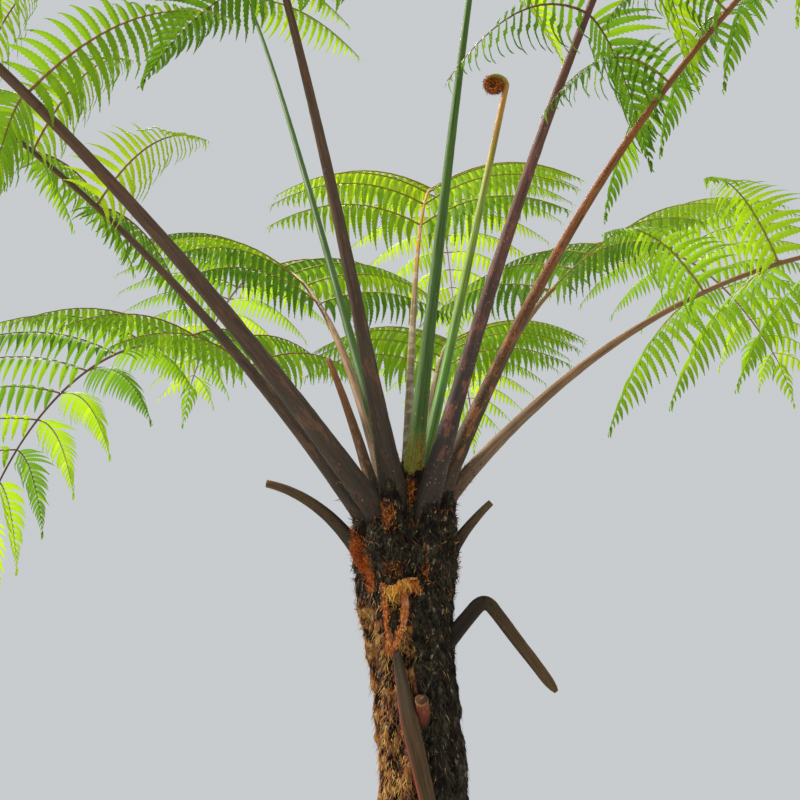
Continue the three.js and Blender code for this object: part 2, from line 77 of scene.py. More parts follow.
def dot(a: Array, b: Array) -> Array:
    """Dot products along the last axis, which stays with length 1."""
    return np.sum(a * b, axis=-1, keepdims=True)


def outward(azimuth: Array | float) -> Array:
    """Level unit vectors at azimuths in degrees."""
    angle = np.radians(azimuth)
    return np.stack([np.cos(angle), np.sin(angle), np.zeros_like(angle)], axis=-1)


def smoothstep(low: float, high: float, value: Array) -> Array:
    """Rises from 0 at low to 1 at high with level ends: 3t^2 - 2t^3."""
    t = np.clip((value - low) / (high - low), 0, 1)
    return t * t * (3 - 2 * t)


def lattice_noise(points: Array, seed: int) -> Array:
    """A smooth random field: values at whole-number points, blended between them by 3t^2 - 2t^3.

    The value at a point is a hash of its coordinates and the seed.

    Args:
        points: Places, with their three coordinates last, in units of one cell.
        seed: Which field to read.

    Returns:
        Values from -1 to 1, one for each place.
    """
    base = np.floor(points).astype(np.int64)
    part = points - base
    part = part * part * (3 - 2 * part)
    total = np.zeros(points.shape[:-1])
    for corner in range(8):
        offset = np.array([(corner >> axis) & 1 for axis in range(3)])
        cell = base + offset
        x, y, z = [cell[..., axis] * factor for axis, factor in enumerate(HASH_FACTORS)]
        mixed = x ^ y ^ z ^ seed * HASH_SEED_FACTOR
        mixed = (mixed ^ (mixed >> HASH_SHIFTS[0])) * HASH_MIX
        value = ((mixed ^ (mixed >> HASH_SHIFTS[1])) & HASH_MASK) / HASH_MASK
        total += value * np.prod(np.where(offset == 1, part, 1 - part), axis=-1)
    return 2 * total - 1


def layered_noise(points: Array, seed: int, layers: int = 3) -> Array:
    """Sum of noise fields, each twice as fine and half as strong as the one before."""
    return sum(lattice_noise(points * 2**k, seed + k) * 0.5**k for k in range(layers))


def tube_noise(along: Array, turn: Array, fineness: Pair, seed: int) -> Array:
    """Layered noise over a tube, without a seam round it.

    Args:
        along: Places along the tube, in metres.
        turn: Turns round it, in radians.
        fineness: Cells for each metre along, and the radius in cells of the circle that it runs round.
        seed: Which field to read.

    Returns:
        Values shaped (places, turns).
    """
    parts = (along[:, None] * fineness[0], np.cos(turn) * fineness[1], np.sin(turn) * fineness[1])
    return layered_noise(np.stack(np.broadcast_arrays(*parts), axis=-1), seed)


@dataclass
class Skin:
    """Faces over one list of points, kept as arrays until they become a mesh.

    Attributes:
        points: Places, one row each.
        faces: Blocks of faces with the same number of corners.
        places: For each block, the (round, along) place of every corner on its surface.
        finishes: For each block, the number of each face's finish.
        fields: Values of each point by name, for finishes that read them.
    """

    points: Array
    faces: list[Array]
    places: list[Array]
    finishes: list[Array]
    fields: dict[str, Array] = field(default_factory=dict)

    def move_places(self, low: float, high: float) -> None:
        """Squeezes the places along the surface from 0 to 1 into the stretch from low to high."""
        self.places = [block * np.array([1, high - low]) + np.array([0, low]) for block in self.places]


def join(skins: list[Skin]) -> Skin:
    """Joins skins without fields into one, with the point numbers of each moved past those before it."""
    starts = np.cumsum([0] + [len(skin.points) for skin in skins])
    faces = [block + start for skin, start in zip(skins, starts) for block in skin.faces]
    return Skin(
        points=np.concatenate([skin.points for skin in skins]),
        faces=faces,
        places=[block for skin in skins for block in skin.places],
        finishes=[block for skin in skins for block in skin.finishes],
    )


def ring_skin(points: Array, finish: int = 0, fields: dict[str, Array] | None = None) -> Skin:
    """Skins a row of rings as a tube with flat ends.

    The face between ring i and i + 1 and points j and j + 1 has its corners in that order, so it looks
    outward where the rings run anticlockwise about the tube's way. Each end is a fan over its ring.

    Args:
        points: Rings of points, shaped (rings, sides, 3).
        finish: Number of the finish.
        fields: Values of each point by name, shaped (rings, sides).

    Returns:
        The tube, with places that run once round it and from 0 to 1 along it.
    """
    rings, sides = points.shape[:2]
    i, j = np.meshgrid(np.arange(rings - 1), np.arange(sides), indexing="ij")
    k = (j + 1) % sides
    walls = np.stack([i * sides + j, i * sides + k, (i + 1) * sides + k, (i + 1) * sides + j], -1)
    u = np.stack([j, j + 1, j + 1, j], -1) / sides
    v = np.stack([i, i, i + 1, i + 1], -1) / (rings - 1)
    fan = np.arange(1, sides - 1)
    hub = np.zeros_like(fan)
    last = (rings - 1) * sides
    near = np.stack([hub, fan + 1, fan], -1)
    far = np.stack([hub, fan, fan + 1], -1) + last
    caps = np.concatenate([near, far])
    cap_places = np.stack([(caps % sides) / sides, np.where(caps >= last, 1.0, 0.0)], -1)
    return Skin(
        points=points.reshape(-1, 3),
        faces=[walls.reshape(-1, 4), caps],
        places=[np.stack([u, v], -1).reshape(-1, 4, 2), cap_places],
        finishes=[np.full(walls.size // 4, finish), np.full(len(caps), finish)],
        fields={name: values.reshape(-1) for name, values in (fields or {}).items()},
    )


TUBE_GUIDE = np.array([0.31, 0.17, 0.93])


def thin_tubes(centres: Array, radii: Array, sides: int, finishes: Array) -> Skin:
    """Skins many thin tubes at once. Each ring stands square to its tube's way, turned by TUBE_GUIDE.

    Args:
        centres: Midlines, shaped (tubes, rings, 3).
        radii: Radius of each ring, shaped (tubes, rings).
        sides: Sides of a tube.
        finishes: Number of each tube's finish.

    Returns:
        All tubes as one skin, their ends closed.
    """
    count, rings = radii.shape
    ahead = unit(np.gradient(centres, axis=1))
    guide = unit(np.cross(ahead.mean(axis=1), TUBE_GUIDE))[:, None]
    across = unit(guide - ahead * dot(guide, ahead))
    upper = np.cross(ahead, across)
    turn = 2 * np.pi * np.arange(sides) / sides
    round_way = across[:, :, None] * np.cos(turn)[:, None] + upper[:, :, None] * np.sin(turn)[:, None]
    points = centres[:, :, None] + radii[..., None, None] * round_way
    one = ring_skin(points[0])
    starts = (np.arange(count) * rings * sides)[:, None, None]
    faces = [(block[None] + starts).reshape(-1, block.shape[1]) for block in one.faces]
    places = [np.tile(block, (count, 1, 1)) for block in one.places]
    numbers = [np.repeat(finishes, len(block)) for block in one.faces]
    return Skin(points.reshape(-1, 3), faces, places, numbers)


def thin_blades(
    roots: Array, ways: Array, sides: Array, widths: Array, curls: Array, finishes: Array
) -> Skin:
    """Skins many scales or hairs at once, each a narrow blade of three faces that bends once.

    It bends at the share bend of its way, with the shares bent and narrow of its curl and width, and ends
    in a point at its way plus its curl.

    Args:
        roots: Where the blades stand.
        ways: Their headings, as long as the blades.
        sides: Unit vectors across them.
        widths: Their widths at the root.
        curls: How far their tips are bent aside.
        finishes: Number of each blade's finish.

    Returns:
        All blades as one skin.
    """
    bend, bent, narrow = 0.55, 0.3, 0.8
    half = sides * (widths / 2)[:, None]
    middle = roots + bend * ways + bent * curls
    inner = narrow * half
    corners = [roots - half, roots + half, middle + inner, middle - inner, roots + ways + curls]
    points = np.stack(corners, axis=1).reshape(-1, 3)
    starts = (np.arange(len(roots)) * len(corners))[:, None, None]
    block = np.array([[0, 1, 2], [0, 2, 3], [3, 2, 4]])
    faces = (block[None] + starts).reshape(-1, 3)
    place = np.array([[0, 0], [1, 0], [1, 0.5], [0, 0.5], [0.5, 1]], dtype=float)
    places = np.tile(place[block], (len(roots), 1, 1))
    return Skin(points, [faces], [places], [np.repeat(finishes, len(block))])


def make_mesh(name: str, skin: Skin, smooth: bool) -> bpy.types.Mesh:
    """Turns a skin into a mesh, its places a UV map and its fields attributes."""
    mesh = bpy.data.meshes.new(name)
    corners = np.concatenate([np.full(len(block), block.shape[1]) for block in skin.faces])
    indices = np.concatenate([block.ravel() for block in skin.faces])
    mesh.vertices.add(len(skin.points))
    mesh.vertices.foreach_set("co", np.ascontiguousarray(skin.points, dtype=np.float32).ravel())
    mesh.loops.add(len(indices))
    mesh.loops.foreach_set("vertex_index", indices.astype(np.int32))
    mesh.polygons.add(len(corners))
    starts = np.concatenate([[0], np.cumsum(corners)[:-1]]).astype(np.int32)
    mesh.polygons.foreach_set("loop_start", starts)
    mesh.polygons.foreach_set("material_index", np.concatenate(skin.finishes).astype(np.int32))
    mesh.polygons.foreach_set("use_smooth", np.full(len(corners), smooth))
    layer = mesh.uv_layers.new(name="surface")
    flat = np.concatenate([block.reshape(-1) for block in skin.places]).astype(np.float32)
    layer.data.foreach_set("uv", flat)
    for field_name, values in skin.fields.items():
        attribute = mesh.attributes.new(field_name, "FLOAT", "POINT")
        attribute.data.foreach_set("value", values.astype(np.float32))
    mesh.update(calc_edges=True)
    mesh.validate()
    return mesh


def dress_piece(
    name: str, skin: Skin, looks: list[Material], nodes: list[str], smooth: bool = True
) -> None:
    """Makes a piece at the origin that rides on the plant in place of CAD nodes.

    Args:
        name: The piece's name.
        skin: Its faces.
        looks: Its materials, by the numbers of the skin's finishes.
        nodes: The CAD nodes that it replaces.
        smooth: Whether its faces are shaded as one surface.
    """
    mesh = make_mesh(name, skin, smooth)
    for look in looks:
        mesh.materials.append(look)
    piece = bpy.data.objects.new(name, mesh)
    bpy.context.scene.collection.objects.link(piece)
    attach(piece, "root")
    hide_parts(*nodes)
    LOG.info("%s: %d faces", piece.name, len(piece.data.polygons))


class Value:
    """A number or vector in a material's nodes. Arithmetic on it adds Math nodes."""

    def __init__(self, shader: "Shader", socket: bpy.types.NodeSocket) -> None:
        """Wraps a socket of a shader."""
        self.shader = shader
        self.socket = socket

    def __add__(self, other: "Value | float") -> "Value":
        """Sum."""
        return self.shader.math("ADD", self, other)

    def __sub__(self, other: "Value | float") -> "Value":
        """Difference."""
        return self.shader.math("SUBTRACT", self, other)

    def __rsub__(self, other: "Value | float") -> "Value":
        """Difference the other way round."""
        return self.shader.math("SUBTRACT", other, self)

    def __mul__(self, other: "Value | float") -> "Value":
        """Product."""
        return self.shader.math("MULTIPLY", self, other)

    __radd__ = __add__
    __rmul__ = __mul__


class Shader:
    """The nodes of one material."""

    def __init__(self, name: str) -> None:
        """Starts a material with only its output."""
        self.material = bpy.data.materials.new(name)
        self.material.use_nodes = True
        self.tree = self.material.node_tree
        self.tree.nodes.clear()
        self.output = self.tree.nodes.new("ShaderNodeOutputMaterial")

    def node(
        self, kind: str, settings: dict[str, object], inputs: dict[str | int, object]
    ) -> bpy.types.Node:
        """Adds a node.

        Args:
            kind: The node's type, without its ShaderNode prefix.
            settings: Its own settings, set first. "stops" holds a ramp's (place, colour) pairs.
            inputs: Values or links of its sockets, by name or number.

        Returns:
            The node.
        """
        made = self.tree.nodes.new("ShaderNode" + kind)
        for key, value in settings.items():
            if key == "stops":
                self.fill_ramp(made.color_ramp, value)
            else:
                setattr(made, key, value)
        for key, value in inputs.items():
            socket = made.inputs[key]
            source = value.socket if isinstance(value, Value) else value
            if isinstance(source, bpy.types.NodeSocket):
                self.tree.links.new(source, socket)
            else:
                socket.default_value = source
        return made

    @staticmethod
    def fill_ramp(ramp: bpy.types.ColorRamp, stops: list[tuple[float, Colour]]) -> None:
        """Gives a ramp its stops."""
        while len(ramp.elements) < len(stops):
            ramp.elements.new(0.5)
        for element, (place, colour) in zip(ramp.elements, stops):
            element.position = place
            element.color = (*colour, 1)

    def math(self, operation: str, *values: "Value | float") -> Value:
        """Adds a Math node."""
        made = self.node("Math", {"operation": operation}, dict(enumerate(values)))
        return Value(self, made.outputs[0])

    def object_place(self, scale: tuple[float, float, float]) -> Value:
        """Object coordinates, scaled along each axis."""
        place = self.node("TexCoord", {}, {}).outputs["Object"]
        scaled = self.node("VectorMath", {"operation": "MULTIPLY"}, {0: place, 1: scale})
        return Value(self, scaled.outputs[0])

    def surface_place(self, scale: Pair) -> Value:
        """The piece's own UV map, scaled."""
        place = self.node("UVMap", {"uv_map": "surface"}, {}).outputs["UV"]
        scaled = self.node("VectorMath", {"operation": "MULTIPLY"}, {0: place, 1: (*scale, 1)})
        return Value(self, scaled.outputs[0])

    def surface_axis(self, axis: str) -> Value:
        """The share of the way round the piece, X, or along it, Y."""
        place = self.node("UVMap", {"uv_map": "surface"}, {}).outputs["UV"]
        return Value(self, self.node("SeparateXYZ", {}, {0: place}).outputs[axis])

    def field(self, name: str) -> Value:
        """One of the mesh's own fields of values."""
        return Value(self, self.node("Attribute", {"attribute_name": name}, {}).outputs["Fac"])

    def noise(self, place: Value, scale: float, detail: float = 3, roughness: float = 0.55) -> Value:
        """A noise texture's value."""
        inputs = {"Vector": place, "Scale": scale, "Detail": detail, "Roughness": roughness}
        return Value(self, self.node("TexNoise", {}, inputs).outputs[0])

    def cells(self, place: Value, scale: float) -> Value:
        """Distance to the nearest of many scattered points."""
        made = self.node("TexVoronoi", {}, {"Vector": place, "Scale": scale})
        return Value(self, made.outputs["Distance"])

    def ramp(self, factor: Value, stops: list[tuple[float, Colour]]) -> Value:
        """A colour read from a ramp."""
        return Value(self, self.node("ValToRGB", {"stops": stops}, {0: factor}).outputs[0])

    def step(self, value: Value, low: float, high: float) -> Value:
        """A smooth rise from 0 at low to 1 at high."""
        inputs = {"Value": value, "From Min": low, "From Max": high}
        made = self.node("MapRange", {"interpolation_type": "SMOOTHSTEP"}, inputs)
        return Value(self, made.outputs[0])

    def mix(self, factor: Value | float, first: Value | Colour, second: Value | Colour) -> Value:
        """A colour between two colours."""
        first, second = [c if isinstance(c, Value) else (*c, 1) for c in (first, second)]
        made = self.node("Mix", {"data_type": "RGBA"}, {0: factor, 6: first, 7: second})
        return Value(self, made.outputs[2])

    def bump(self, height: Value, depth: float) -> Value:
        """A normal tilted by a height field of the given depth in metres."""
        made = self.node("Bump", {}, {"Strength": 1.0, "Distance": depth, "Height": height})
        return Value(self, made.outputs[0])

    def principled(self, sockets: dict[str | int, object]) -> Value:
        """A Principled surface."""
        return Value(self, self.node("BsdfPrincipled", {}, sockets).outputs[0])

    def finish(self, surface: Value) -> Material:
        """Links a surface to the output and returns the material."""
        self.tree.links.new(surface.socket, self.output.inputs[0])
        return self.material


class StalkLook(Enum):
    """What a stalk looks like."""

    BROWN = "brown_stalk"
    PURPLE = "purple_stalk"
    RUST = "rust_stalk"
    TAN = "tan_stalk"
    BANDED = "banded_stalk"
    GREEN = "green_stalk"
    YOUNG = "young_stalk"
    DEAD = "dead_stalk"
    STRAP = "strap_stalk"
    CUT = "cut_stalk"
    COIL = "coil"

    @property
    def slot(self) -> str:
        """The record's material slot for this look."""
        slots = {
            StalkLook.PURPLE: StalkLook.BROWN,
            StalkLook.BANDED: StalkLook.TAN,
            StalkLook.YOUNG: StalkLook.GREEN,
            StalkLook.STRAP: StalkLook.DEAD,
            StalkLook.CUT: StalkLook.DEAD,
        }
        return "scales" if self is StalkLook.COIL else slots.get(self, self).value


@dataclass(frozen=True)
class StalkFinish:
    """Skin of a stalk.

    Attributes:
        stops: Its colours at shares of the way from foot to tip. On the brown, purple, rust and tan stalks
        the near-black foot and the darkening up to it are painted shade where the backlit stalks enter the
        crown.
        speckle, speckles: Colour of the marks that fallen scales leave, and how many from 0 to 1.
        bands: Strength of the bands across it, in the colour pale.
        edge: Colour of a strip along it, at the share edge_place of the turn round the stalk.
        scuff: Colour of the worn patches above its foot.
        grime: Colour of its streaks and dark patches, and how much of it they take.
        relief: Depth of the streaks and marks, in metres.
    """

    stops: tuple[tuple[float, Colour], ...]
    speckle: Colour
    speckles: float
    gloss: float
    bands: float = 0.0
    edge: Colour | None = None
    scuff: Colour | None = None
    grime: tuple[Colour, float] = ((0.012, 0.007, 0.005), 0.62)
    pale: Colour = (0.46, 0.38, 0.27)
    edge_place: float = 0.19
    relief: float = 0.0012

    def material(self, name: str) -> Material:
        """Builds the material from the stalk's UV map and Object coordinates."""
        shader = Shader(name)
        streaks = shader.noise(shader.surface_place((26, 9)), 1.0)
        patches = shader.noise(shader.object_place((1, 1, 0.35)), 34.0, 4)
        warts = shader.cells(shader.object_place((1, 1, 0.8)), 150.0)
        along = shader.surface_axis("Y") + (patches - 0.5) * 0.06
        base = shader.ramp(along, list(self.stops))
        deep = shader.mix(self.grime[1], base, self.grime[0])
        base = shader.mix(shader.step(streaks, 0.4, 0.72), base, deep)
        base = shader.mix(shader.step(patches, 0.5, 0.75) * 0.35, base, deep)
        if self.scuff:
            worn = shader.noise(shader.surface_place((6, 17)), 1.0, 4, 0.65)
            above = shader.step(along, 0.08, 0.28)
            base = shader.mix(shader.step(worn, 0.52, 0.64) * above, base, self.scuff)
        if self.bands:
            ripple = shader.noise(shader.surface_place((1.2, 46)), 1.0, 2)
            base = shader.mix(shader.step(ripple, 0.5, 0.62) * self.bands, base, self.pale)
        drifts = shader.noise(shader.object_place((1, 1, 0.5)), 60.0, 3, 0.65)
        dots = shader.step(warts, 0.32, 0.12) * shader.step(drifts, 0.66 - self.speckles * 0.22, 0.72)
        colour = shader.mix(dots, base, self.speckle)
        if self.edge:
            around = shader.surface_axis("X") - self.edge_place
            colour = shader.mix(shader.step(around * around, 0.0028, 0.0008), colour, self.edge)
        grain = shader.noise(shader.object_place((1, 1, 1)), 420.0)
        height = streaks * 0.5 + dots * 0.8 + grain * 0.35
        sockets = {
            "Base Color": colour,
            "Roughness": 1 - (1 - shader.step(patches, 0.3, 0.8) * 0.3) * self.gloss,
            "Specular IOR Level": 0.35,
            "Normal": shader.bump(height, self.relief),
        }
        return shader.finish(shader.principled(sockets))


# The near-black first stops of the brown, purple, rust and tan stalks, and their darkening towards the foot,
# are painted shade where the backlit stalks enter the crown.
STALK_FINISHES = {
    StalkLook.BROWN: StalkFinish(
        ((0.0, (0.02, 0.014, 0.009)), (0.3, (0.065, 0.044, 0.028)), (1.0, (0.125, 0.066, 0.038))),
        (0.22, 0.11, 0.06), 0.45, 0.4, scuff=(0.13, 0.062, 0.034),
    ),
    StalkLook.PURPLE: StalkFinish(
        (
            (0.0, (0.02, 0.015, 0.011)), (0.35, (0.05, 0.034, 0.027)),
            (0.6, (0.12, 0.05, 0.04)), (1.0, (0.15, 0.065, 0.05)),
        ),
        (0.36, 0.17, 0.15), 1.0, 0.46, scuff=(0.2, 0.072, 0.052),
    ),
    StalkLook.RUST: StalkFinish(
        (
            (0.0, (0.025, 0.016, 0.009)), (0.3, (0.08, 0.052, 0.025)),
            (0.6, (0.2, 0.08, 0.028)), (1.0, (0.31, 0.105, 0.03)),
        ),
        (0.4, 0.18, 0.08), 0.7, 0.38, scuff=(0.3, 0.12, 0.05),
    ),
    StalkLook.TAN: StalkFinish(
        (
            (0.0, (0.02, 0.01, 0.007)), (0.1, (0.08, 0.045, 0.028)),
            (0.3, (0.24, 0.15, 0.09)), (1.0, (0.3, 0.155, 0.06)),
        ),
        (0.42, 0.27, 0.17), 0.5, 0.4,
    ),
    StalkLook.BANDED: StalkFinish(
        (
            (0.0, (0.12, 0.06, 0.03)), (0.2, (0.26, 0.19, 0.11)),
            (0.7, (0.36, 0.25, 0.12)), (0.85, (0.55, 0.25, 0.05)),
        ),
        (0.2, 0.12, 0.06), 0.7, 0.3, bands=0.7,
    ),
    StalkLook.GREEN: StalkFinish(
        (
            (0.02, (0.36, 0.13, 0.025)), (0.07, (0.33, 0.32, 0.035)),
            (0.16, (0.06, 0.14, 0.022)), (1.0, (0.08, 0.18, 0.018)),
        ),
        (0.26, 0.16, 0.05), 0.15, 0.55,
    ),
    StalkLook.YOUNG: StalkFinish(
        (
            (0.0, (0.14, 0.18, 0.03)), (0.2, (0.09, 0.26, 0.03)),
            (0.7, (0.26, 0.34, 0.035)), (0.93, (0.5, 0.22, 0.03)),
        ),
        (0.45, 0.2, 0.04), 0.3, 0.5,
    ),
    StalkLook.DEAD: StalkFinish(
        ((0.0, (0.012, 0.008, 0.005)), (0.4, (0.036, 0.022, 0.01)), (1.0, (0.14, 0.082, 0.034))),
        (0.24, 0.15, 0.06), 0.5, 0.22,
    ),
    StalkLook.STRAP: StalkFinish(
        ((0.0, (0.025, 0.016, 0.008)), (0.2, (0.082, 0.045, 0.016)), (1.0, (0.13, 0.062, 0.022))),
        (0.2, 0.12, 0.045), 0.5, 0.3, edge=(0.2, 0.035, 0.024),
    ),
    StalkLook.CUT: StalkFinish(
        (
            (0.3, (0.02, 0.01, 0.006)), (0.7, (0.2, 0.045, 0.018)), (0.9, (0.26, 0.07, 0.028)),
            (0.955, (0.32, 0.17, 0.08)), (0.985, (0.1, 0.04, 0.02)),
        ),
        (0.5, 0.26, 0.12), 1.0, 0.1,
    ),
    StalkLook.COIL: StalkFinish(
        (
            (0.0, (0.5, 0.24, 0.03)), (0.12, (0.3, 0.34, 0.04)),
            (0.26, (0.33, 0.1, 0.025)), (1.0, (0.2, 0.05, 0.016)),
        ),
        (0.6, 0.2, 0.04), 1.0, 0.25,
    ),
}


@dataclass(frozen=True)
class BarkFinish:
    """Matted fibres with near-black hollows, which are painted shade: golden and rust clumps on one side,
    dark moss elsewhere.

    The golden side is a sunlit copy of the bark and the dark side a shaded one: painted sunlight and
    painted shade over the fibres' own gold, rust and moss. Middle heights and knobs have the colours rust
    and gold on the golden side, and shade and dark_knob on the dark one. relief is the depth of the fine
    relief.
    """

    hollow: Colour = (0.006, 0.004, 0.003)
    shade: Colour = (0.022, 0.014, 0.009)
    dark_knob: Colour = (0.075, 0.07, 0.04)
    rust: Colour = (0.2, 0.068, 0.02)
    gold: Colour = (0.46, 0.25, 0.065)
    fleck: Colour = (0.42, 0.36, 0.25)
    relief: float = 0.006

    def material(self) -> Material:
        """Builds the material from Object coordinates, the height of the relief and the golden side, whose
        gold is partly painted sunlight.
        """
        shader = Shader("bark")
        strands = shader.noise(shader.object_place((230, 230, 60)), 1.0, 4)
        clumps = shader.noise(shader.object_place((1, 1, 0.6)), 120.0, 3, 0.6)
        blotches = shader.noise(shader.object_place((26, 26, 15)), 1.0, 3)
        grain = shader.noise(shader.object_place((1, 1, 1)), 380.0, 3, 0.7)
        fine = (strands - 0.5) * 0.5 + (grain - 0.5) * 0.4
        height = shader.field("relief") * 0.6 + clumps * 0.4 + fine
        # dark and bright are a shaded and a sunlit copy of the bark. Their lowest heights, the hollows, take
        # near-black: painted shade.
        dark = shader.ramp(height, [(0.34, self.hollow), (0.52, self.shade), (0.72, self.dark_knob)])
        bright = shader.ramp(height, [(0.42, self.hollow), (0.53, self.rust), (0.72, self.gold)])
        # Painted sunlight and shade: the golden field picks the sunlit copy towards -X and the shaded copy
        # elsewhere.
        golden = shader.step(shader.field("golden") + (blotches - 0.5) * 0.9, 0.38, 0.6)
        colour = shader.mix(golden, dark, bright)
        scatter = shader.noise(shader.object_place((110, 110, 70)), 1.0, 2)
        flecks = shader.step(scatter, 0.61, 0.68)
        colour = shader.mix(flecks * shader.step(height, 0.42, 0.6) * 0.7, colour, self.fleck)
        sockets = {
            "Base Color": colour,
            "Roughness": 0.82 + grain * 0.18,
            "Specular IOR Level": 0.15,
            "Normal": shader.bump(strands * 0.6 + clumps * 0.7 + grain * 0.4, self.relief),
        }
        return shader.finish(shader.principled(sockets))


@dataclass(frozen=True)
class PlainFinish:
    """A finish of one colour, skin, for leaves, scales and fibres, which are too small for a pattern.

    The share through of the light comes through it in the colour glow, where it has one.
    """

    skin: Colour
    glow: Colour | None = None
    through: float = 0.45
    roughness: float = 0.7
    specular: float = 0.25

    def material(self, name: str) -> Material:
        """Builds the material."""
        shader = Shader(name)
        base = (*self.skin, 1)
        surface = shader.principled(
            {"Base Color": base, "Roughness": self.roughness, "Specular IOR Level": self.specular}
        )
        if self.glow:
            glow = shader.node("BsdfTranslucent", {}, {"Color": (*self.glow, 1)}).outputs[0]
            mixed = shader.node("MixShader", {}, {0: self.through, 1: surface, 2: glow})
            surface = Value(shader, mixed.outputs[0])
        return shader.finish(surface)


def leafy(skin: Colour, glow: Colour, through: float = 0.45) -> PlainFinish:
    """The soft skin of a leaf, which lets yellow-green light through."""
    return PlainFinish(skin, glow, through, roughness=0.55, specular=0.16)


LEAF_FINISHES = {
    "leaf_lime": leafy((0.24, 0.38, 0.012), (0.55, 0.76, 0.012)),
    "leaf_bright": leafy((0.17, 0.31, 0.012), (0.42, 0.65, 0.012)),
    "leaf_mid": leafy((0.1, 0.21, 0.012), (0.28, 0.5, 0.012)),
    "leaf_deep": leafy((0.055, 0.13, 0.012), (0.16, 0.34, 0.012)),
    "leaf_gold": leafy((0.27, 0.35, 0.013), (0.6, 0.7, 0.016)),
}
GOLDEN = list(LEAF_FINISHES).index("leaf_gold")

HAIR_FINISHES = {
    "scale_orange": PlainFinish((0.62, 0.16, 0.025)),
    "scale_rust": PlainFinish((0.32, 0.075, 0.02)),
    "scale_brown": PlainFinish((0.022, 0.012, 0.008)),
    "scale_gold": PlainFinish((0.72, 0.42, 0.07)),
    "fibre_gold": PlainFinish((0.5, 0.31, 0.085)),
    "fibre_rust": PlainFinish((0.25, 0.085, 0.026)),
    "fibre_brown": PlainFinish((0.065, 0.055, 0.03)),
    "fibre_black": PlainFinish((0.012, 0.008, 0.006)),
}


@dataclass(frozen=True)
class TrunkForm:
    """The trunk's plain form: a leaning shaft that thins upward, a flared foot and a swollen, domed crown.

    Each height after a size is the one over which it falls to a share of 1 / e.

    Attributes:
        shaft: Radius that the shaft thins to. At the ground it is thicker by thinning and by flare.
        crown_swell: How much the crown swells at crown_height.
        shoulder: Height at which the dome starts, which is as high as dome says.
        lean: How far the trunk leans to -X at lean_height, by the power lean_power of the height.
        ribs: For each set of winding ribs its waves round the trunk, its rise and its strength.
        roots: Waves round the trunk of the root ribs, and their start in radians.
        rib_depth, root_depth: Their depths as shares of the radius, the roots' at the ground.
    """

    shaft: float = 0.06
    thinning: float = 0.038
    thinning_height: float = 1.4
    flare: float = 0.048
    flare_height: float = 0.11
    crown_swell: float = 0.021
    crown_height: float = 2.08
    crown_depth: float = 0.105
    shoulder: float = 2.105
    dome: float = 0.056
    lean: float = 0.085
    lean_height: float = 2.1
    lean_power: float = 1.3
    ribs: tuple[tuple[float, float, float], ...] = ((5, 0.19, 1.0), (9, -0.083, 0.6))
    rib_depth: float = 0.035
    roots: Pair = (7, 0.8)
    root_depth: float = 0.1
    root_height: float = 0.17

    def axis(self, z: Array | float) -> Array:
        """Middle of the trunk: it moves to -X by the lean times the height's share to a power."""
        z = np.asarray(z, dtype=float)
        share = np.maximum(z, 0) / self.lean_height
        return np.stack([-self.lean * share**self.lean_power, np.zeros_like(z), z], axis=-1)

    def radius(self, z: Array | float) -> Array:
        """Plain radius: the shaft, plus falls of e to the minus height, plus the crown's bell curve."""
        z = np.asarray(z, dtype=float)
        swell = self.crown_swell * np.exp(-(((z - self.crown_height) / self.crown_depth) ** 2))
        shaft = self.shaft + self.thinning * np.exp(-z / self.thinning_height)
        return shaft + self.flare * np.exp(-z / self.flare_height) + swell

    def fluting(self, z: Array, angle: Array) -> Array:
        """Factor on the radius: sine waves that wind up the trunk, and root ribs that fade upward."""
        ribs = sum(strength * np.sin(waves * angle + z / rise) for waves, rise, strength in self.ribs)
        roots = np.exp(-z / self.root_height) * np.sin(self.roots[0] * angle + self.roots[1])
        return 1 + self.rib_depth * ribs + self.root_depth * roots

    def surface(self, z: Array, angle: Array) -> Array:
        """Points on the plain form at heights and angles in radians."""
        reach = self.radius(z) * self.fluting(z, angle)
        return self.axis(z) + outward(np.degrees(angle)) * reach[..., None]


@dataclass(frozen=True)
class Course:
    """How a stalk or frond runs: its foot on the crown, its first lean and how it arches over.

    Attributes:
        arch: How much its lean grows by the tip, as the share of the way to the power bend.
        foot, rise: Distance of its foot from the trunk's middle, and its height.
        sweep: How much its azimuth turns by the tip.
        roll: How far its leaf is turned about its midline.
    """

    azimuth: float
    lean: float
    arch: float
    foot: float
    rise: float
    length: float
    bend: float = 1.5
    sweep: float = 0.0
    roll: float = 0.0


class Midline:
    """The line that a course describes, walked in small steps."""

    STEPS = 200

    def __init__(self, course: Course, form: TrunkForm) -> None:
        """Walks the line: each step goes ahead at the lean and azimuth of its middle."""
        self.length = course.length
        share = np.concatenate([[0], (np.arange(self.STEPS) + 0.5) / self.STEPS])
        azimuth = course.azimuth + course.sweep * share
        lean = np.radians(course.lean + course.arch * share**course.bend)[:, None]
        side = outward(azimuth)
        self.ahead = side * np.sin(lean) + UP * np.cos(lean)
        level = np.cross(UP, side)
        top = np.cross(self.ahead, level)
        roll = math.radians(course.roll)
        self.across = level * math.cos(roll) + top * math.sin(roll)
        self.upper = top * math.cos(roll) - level * math.sin(roll)
        start = outward(course.azimuth) * course.foot + form.axis(course.rise)
        steps = self.ahead[1:] * (course.length / self.STEPS)
        self.points = start + np.concatenate([np.zeros((1, 3)), np.cumsum(steps, axis=0)])

    def at(self, along: Array) -> tuple[Array, Array, Array, Array]:
        """Reads the line.

        Args:
            along: Distances from the foot. Before it the line runs straight.

        Returns:
            Points, and unit vectors ahead, across the leaf and to its upper side.
        """
        place = np.clip(np.asarray(along) / self.length, 0, 1) * self.STEPS
        i = np.minimum(place.astype(int), self.STEPS - 1)
        part = (place - i)[..., None]
        rows = [self.points, self.ahead, self.across, self.upper]
        point, ahead, across, upper = [row[i] * (1 - part) + row[i + 1] * part for row in rows]
        point = point + unit(ahead) * np.minimum(along, 0)[..., None]
        return point, unit(ahead), unit(across), unit(upper)


